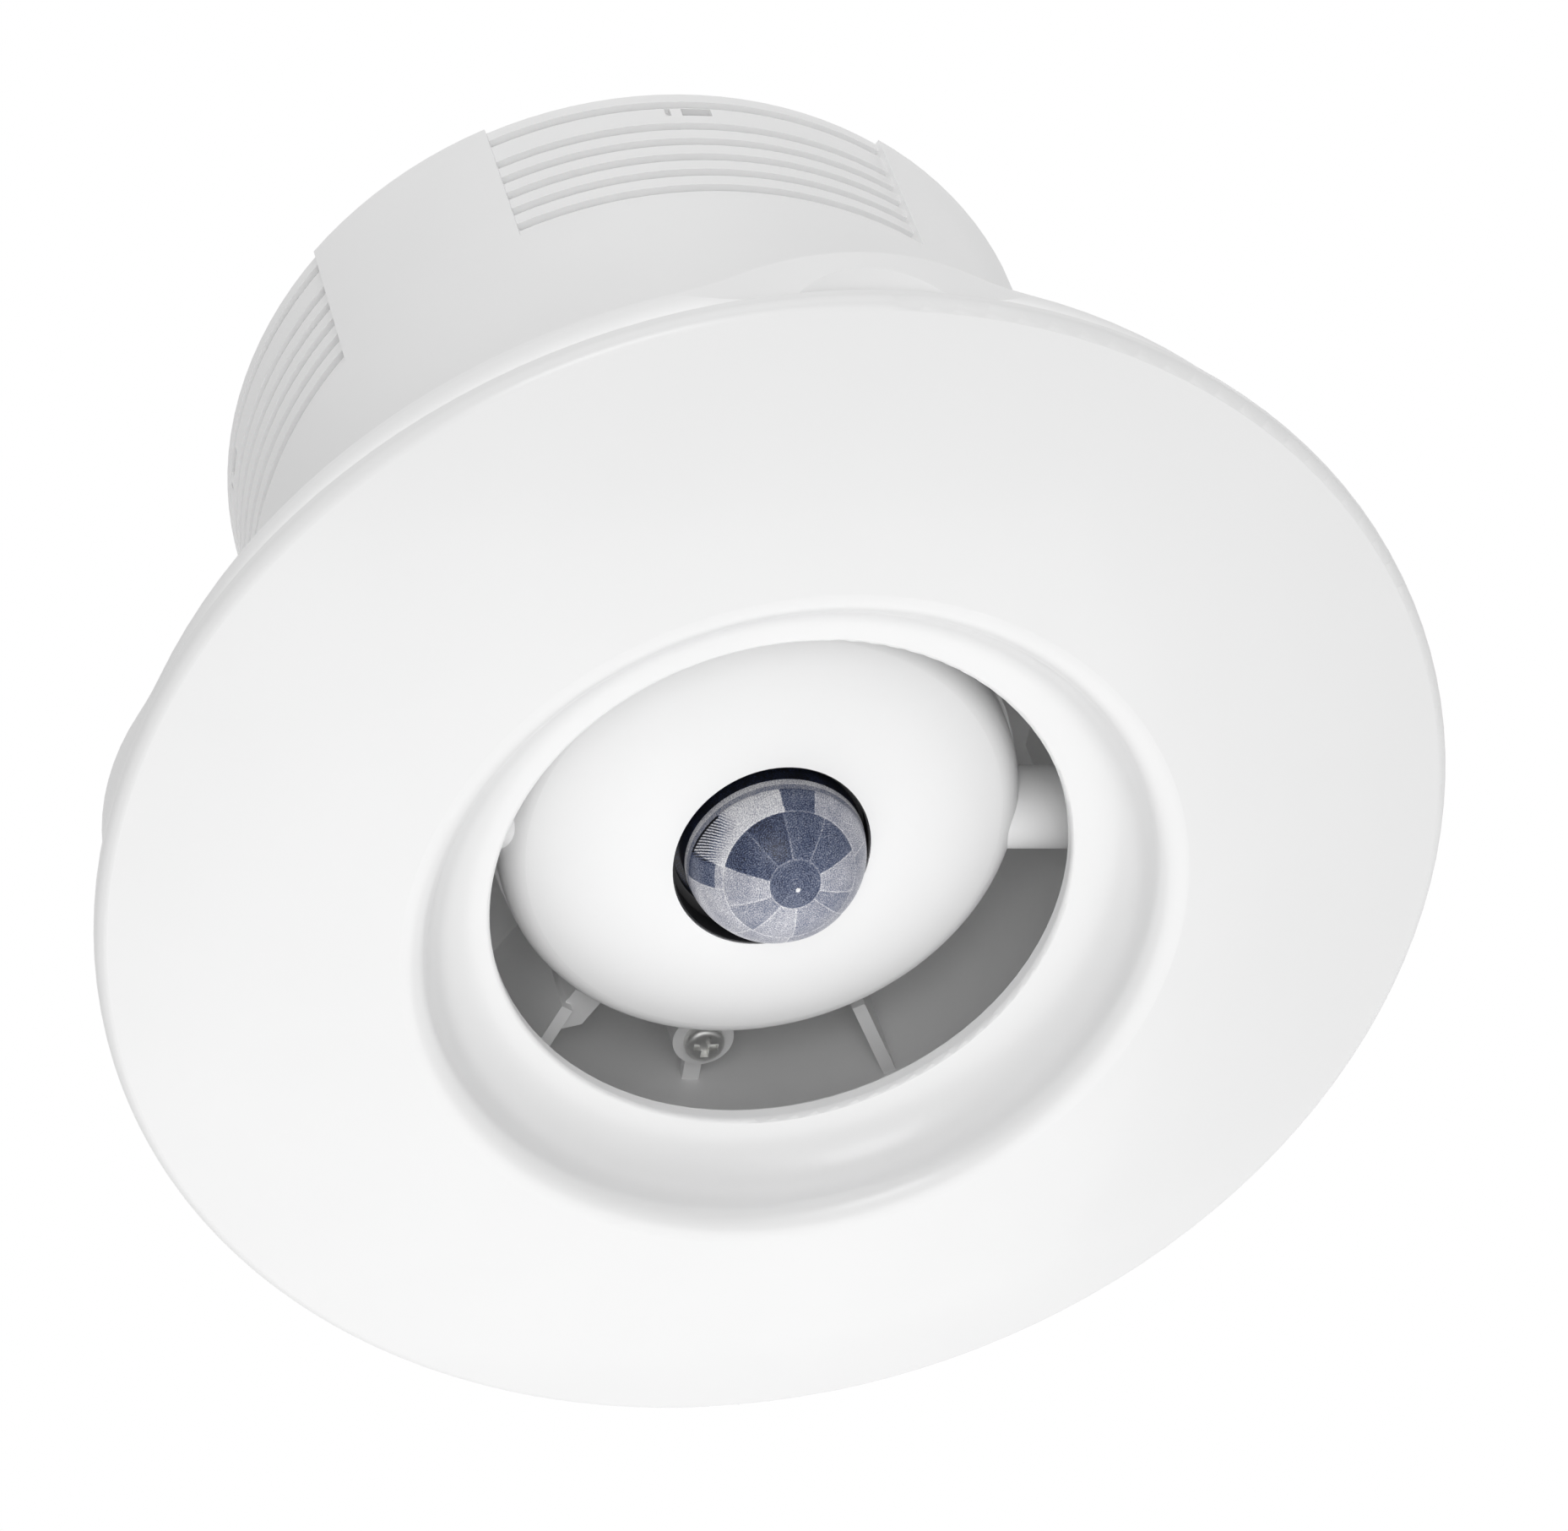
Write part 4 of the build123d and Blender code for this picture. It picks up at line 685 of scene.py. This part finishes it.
def build_bezel():
    mesh = bmesh.new()
    add = mesh.verts.new
    middle = (LINER_OUTER + LINER_INNER) / 2
    half = (LINER_OUTER - LINER_INNER) / 2
    arc = [math.radians(a) for a in NOSE_STEPS]
    nose = [(middle - half * math.cos(a), LINER_FRONT + half * (1 - math.sin(a))) for a in arc]
    liner = [(LINER_INNER, RING_FRONT)] + nose + [(LINER_OUTER, RING_FRONT)]
    inner = LENS_RADIUS + RING_GAP
    rows = lathe_rows([(inner, FLANGE_FRONT), (inner, RING_FRONT)], RING_AROUND, (0, 0), add)
    rows += lathe_rows(liner, RING_AROUND, (0, 0), add, LINER_LONGER)
    rim = [(FLANGE_RADIUS, RING_FRONT), (FLANGE_RADIUS, FLANGE_FRONT)]
    rows += lathe_rows(rim, RING_AROUND, (0, 0), add)
    skin(mesh, rows, closed=True)
    mesh.transform(head_place)
    return scene_piece("bezel_ring", mesh, "head", "bezel_black", "lens_bezel", RING_SHARP_ANGLE)


bezel = build_bezel()
bezel.data.materials.append(bezel_black)
print("bezel points:", len(bezel.data.vertices))

# %% [markdown]
# ### The lens's finish
# The plastic is milky, and lets warmth through but little light. Its shade goes from a deep slate blue to
# a pale lavender grey by facet. It could be glass with a dark room behind it, but then its shades would
# depend on the inside of the head. Instead one value says how bright a point is. The facet's shade comes
# first. Grains break it up, as the frosted skin of such a lens does, and clouds move it a little. The
# grooves paint faint light and shade along themselves, the comb's lines are painted shade, and a seam
# lightens it.

# %% The lens's brightness
# A noise's scale, the lowest and highest value kept of it, and how far it moves the brightness.
SPECK = (9500.0, 0.32, 0.68, 0.20)
CLOUD = (520.0, 0.3, 0.7, 0.05)
GROOVE_RATE, GROOVE_SWAY, GROOVE_LIGHT_AND_SHADE = 4.4, 3.0, 0.045
COMB_RATE, COMB_SWAY, COMB_SHADE_DARKNESS = 3.0, 3.0, -0.70
COMB_LINE = (-0.4, 0.5)
SEAM_LIGHT = 0.20


def about_zero(tree, value, low, high, swing):
    """A value between low and high, spread evenly about zero."""
    links = {"Value": value, "From Min": low, "From Max": high, "To Min": -swing, "To Max": swing}
    return put(tree, "ShaderNodeMapRange", links, clamp=True).outputs[0]


def comb_shade_lines(tree, turn, strength):
    """Lines of painted shade at even steps of a turn: zero between them, and the comb's darkness on them.
    """
    wave = group_node(tree, WAVES, Angle=turn, Rate=COMB_RATE, Sway=COMB_SWAY)["Wave"]
    low, high = COMB_LINE
    links = {"Value": wave, "From Min": low, "From Max": high, "To Min": 0.0, "To Max": COMB_SHADE_DARKNESS}
    line = put(tree, "ShaderNodeMapRange", links, clamp=True)
    return calc(tree, "MULTIPLY", line.outputs[0], strength)


def lens_brightness(tree, given, groove):
    """Adds up what makes a point of the lens lighter or darker."""
    place = object_place(tree)
    speck = noise(tree, place, SPECK[0], 2.0, Roughness=0.6)
    cloud = noise(tree, place, CLOUD[0], 2.0)
    total = calc(tree, "ADD", given["shade"], about_zero(tree, speck, *SPECK[1:]))
    total = calc(tree, "ADD", total, about_zero(tree, cloud, *CLOUD[1:]))
    # The grooves' wave paints faint light and shade along the grooves.
    total = calc(tree, "ADD", total, about_zero(tree, groove, -1.0, 1.0, GROOVE_LIGHT_AND_SHADE))
    # The comb's lines are painted shade, where grooves are seen edge on.
    total = calc(tree, "ADD", total, comb_shade_lines(tree, given["turn"], given["comb"]))
    return calc(tree, "ADD", total, calc(tree, "MULTIPLY", given["seam"], SEAM_LIGHT))


print("comb lines across its facet:", round((COMB_TURNS[1] - COMB_TURNS[0]) * COMB_RATE / (2 * math.pi)))

# %% [markdown]
# One ramp then turns that brightness into a colour, so dark facets stay bluer than pale ones, and the
# grooves' own wave is the relief.

# %% Lens material
LENS_ROUGHNESS = 0.32
LENS_SPECULAR = 0.35
GROOVE_STRENGTH = 0.3
GROOVE_DEPTH = 0.01 * MM
SLATE_TO_LAVENDER = (
    # The two darkest stops colour the painted shadow of the lens's side and of the comb's edge.
    (0.00, (0.004, 0.004, 0.004)),
    (0.14, (0.019, 0.019, 0.021)),
    (0.25, (0.016, 0.023, 0.058)),
    (0.33, (0.041, 0.056, 0.120)),
    (0.40, (0.074, 0.097, 0.168)),
    (0.56, (0.214, 0.238, 0.315)),
    (0.66, (0.355, 0.360, 0.420)),
    (0.77, (0.520, 0.520, 0.575)),
    (1.00, (0.920, 0.920, 0.930)),
)


def colour_ramp(tree, value, stops):
    """The colour of a ramp at a value."""
    ramp = put(tree, "ShaderNodeValToRGB", {"Fac": value})
    elements = ramp.color_ramp.elements
    elements[0].color = (*stops[0][1], 1)
    elements[1].color = (*stops[-1][1], 1)
    for position, colour in stops[1:-1]:
        elements.new(position).color = (*colour, 1)
    return ramp.outputs["Color"]


def lens_finish():
    material, tree, shader = new_material("lens_plastic", (0.36, 0.40, 0.50))
    given = {n: put(tree, "ShaderNodeAttribute", attribute_name=n).outputs["Fac"] for n in POINT_VALUES}
    groove = group_node(tree, WAVES, Angle=given["reach"], Rate=GROOVE_RATE, Sway=GROOVE_SWAY)["Wave"]
    colour = colour_ramp(tree, lens_brightness(tree, given, groove), SLATE_TO_LAVENDER)
    relief = {"Height": groove, "Strength": GROOVE_STRENGTH, "Distance": GROOVE_DEPTH}
    normal = put(tree, "ShaderNodeBump", relief).outputs["Normal"]
    tree.links.new(colour, shader.inputs["Base Color"])
    tree.links.new(normal, shader.inputs["Normal"])
    shader.inputs["Roughness"].default_value = LENS_ROUGHNESS
    shader.inputs["Specular IOR Level"].default_value = LENS_SPECULAR
    return material


lens.data.materials.append(lens_finish())
print("lens finished with", len(SLATE_TO_LAVENDER), "colours on its ramp")

# %% [markdown]
# ## The studio
# The object hangs above a plain pale floor, and the eye looks up at it from below. Large soft lamps give
# the even light of a product studio. The background is white because the world is white to the camera and
# to glossy and clear surfaces, and not because more light is poured on the object.

# %% World
WORLD_LIGHT = 0.46
WHITE = (1, 1, 1, 1)
WHITE_TO = ("Is Glossy Ray", "Is Transmission Ray")


def white_to_eye(tree, surface, lit):
    """Shows plain white to the camera and to glossy and clear rays, and the lit shader to all others."""
    path = put(tree, "ShaderNodeLightPath").outputs
    seen = path["Is Camera Ray"]
    for ray in WHITE_TO:
        seen = calc(tree, "MAXIMUM", seen, path[ray])
    white_shader = put(tree, "ShaderNodeBackground", {"Color": WHITE, "Strength": 1.0})
    mix = put(tree, "ShaderNodeMixShader", {0: seen, 1: lit, 2: white_shader.outputs[0]})
    tree.links.new(mix.outputs[0], surface)


world = bpy.data.worlds.new("studio")
bpy.context.scene.world = world
world.use_nodes = True
world_nodes = world.node_tree.nodes
surround = world_nodes["Background"]
surround.inputs["Color"].default_value = WHITE
surround.inputs["Strength"].default_value = WORLD_LIGHT
white_to_eye(world.node_tree, world_nodes["World Output"].inputs["Surface"], surround.outputs[0])
print("world light:", WORLD_LIGHT)

# %% [markdown]
# ### The floor
# The floor is a sheet of matt studio paper, far enough below that the object's shadow on it is soft. It
# could curve up into a backdrop, but the eye looks upwards and would never see that.

# %% Floor
FLOOR_HEIGHT = -1.2
FLOOR_SIZE = 6.0
FLOOR_PARTS = 8

floor_mesh = bmesh.new()
bmesh.ops.create_grid(floor_mesh, x_segments=FLOOR_PARTS, y_segments=FLOOR_PARTS, size=FLOOR_SIZE / 2)
floor_data = bpy.data.meshes.new("studio_floor")
floor_mesh.to_mesh(floor_data)
floor_mesh.free()
floor = bpy.data.objects.new("studio_floor", floor_data)
floor.location = (0, 0, FLOOR_HEIGHT)
bpy.context.scene.collection.objects.link(floor)
floor.data.materials.append(white("studio_paper", 0.84, 0.82, 0.9, grain=2.0, bump=0.05))
print("floor at", FLOOR_HEIGHT, "m")

# %% [markdown]
# ### The lamps
# The cover is brightest at its lower edge and a little greyer at the top, so its main lamp stands low, on
# the far side, and a weak one stands at the right. Two soft ones stand by the eye: without them the deep
# gap round the head would be black. Two more look at the can from its open side, where they draw the
# ribs, and one hangs over everything, so the floor gets a shadow. A single strong lamp would be simpler,
# but half of every groove and of the gap would get no light.

# %% Lamps
CENTRE = (0, 0, 0)
CAN = (0, 0, 0.03)
LAMPS = (
    ("low_lamp", (0.0, 0.45, -0.55), CENTRE, 0.9, 3.6),
    ("right_lamp", (0.75, 0.05, -0.55), CENTRE, 0.9, 0.5),
    ("eye_lamp", (-0.10, -0.50, -0.80), CENTRE, 0.6, 0.95),
    ("near_lamp", (-0.17, -0.40, -0.52), CENTRE, 0.25, 0.72),
    ("can_lamp", (-0.75, -0.85, 0.25), CAN, 0.9, 1.3),
    ("top_lamp", (0.0, -1.0, 0.15), CAN, 0.9, 1.9),
    ("over_lamp", (0.1, 0.1, 1.3), CENTRE, 1.2, 6.0),
)


def soft_lamp(name, position, aim, size, power):
    """A square white lamp of a size in metres and a power in watts, turned to its aim."""
    data = bpy.data.lights.new(name, "AREA")
    data.size = size
    data.energy = power
    lamp = bpy.data.objects.new(name, data)
    lamp.location = position
    lamp.rotation_mode = "QUATERNION"
    lamp.rotation_quaternion = (Vector(aim) - Vector(position)).to_track_quat("-Z", "Y")
    lamp.visible_camera = False
    bpy.context.scene.collection.objects.link(lamp)


for lamp in LAMPS:
    soft_lamp(*lamp)
print("lamps:", len(LAMPS))

# %% [markdown]
# ### The camera
# The eye is below and to one side of the sensor, about 0.6 m away. A long lens keeps the circles true:
# from nearer by, with a short one, the near edge of the cover would swell.

# %% Camera
EYE = Vector((-0.14741, -0.33386, -0.45689))
EYE_RIGHT = Vector((0.96701, -0.14971, -0.20609))
EYE_DOWN = Vector((0.00203, 0.81357, -0.58148))
FOCAL_LENGTH = 152.72
SENSOR_WIDTH = 36
CLIP_START = 0.01

camera_data = bpy.data.cameras.new("camera")
camera_data.lens = FOCAL_LENGTH
camera_data.sensor_width = SENSOR_WIDTH
camera_data.clip_start = CLIP_START
camera = bpy.data.objects.new("camera", camera_data)
forward = EYE_DOWN.cross(EYE_RIGHT) * -1
turn = Matrix((EYE_RIGHT, -EYE_DOWN, -forward)).transposed()
camera.matrix_world = Matrix.Translation(EYE) @ turn.to_4x4()
bpy.context.scene.collection.objects.link(camera)
bpy.context.scene.camera = camera
bpy.context.scene.view_settings.view_transform = "Standard"
print("eye to origin, m:", round(EYE.length, 3), "looks along", [round(v, 3) for v in forward])
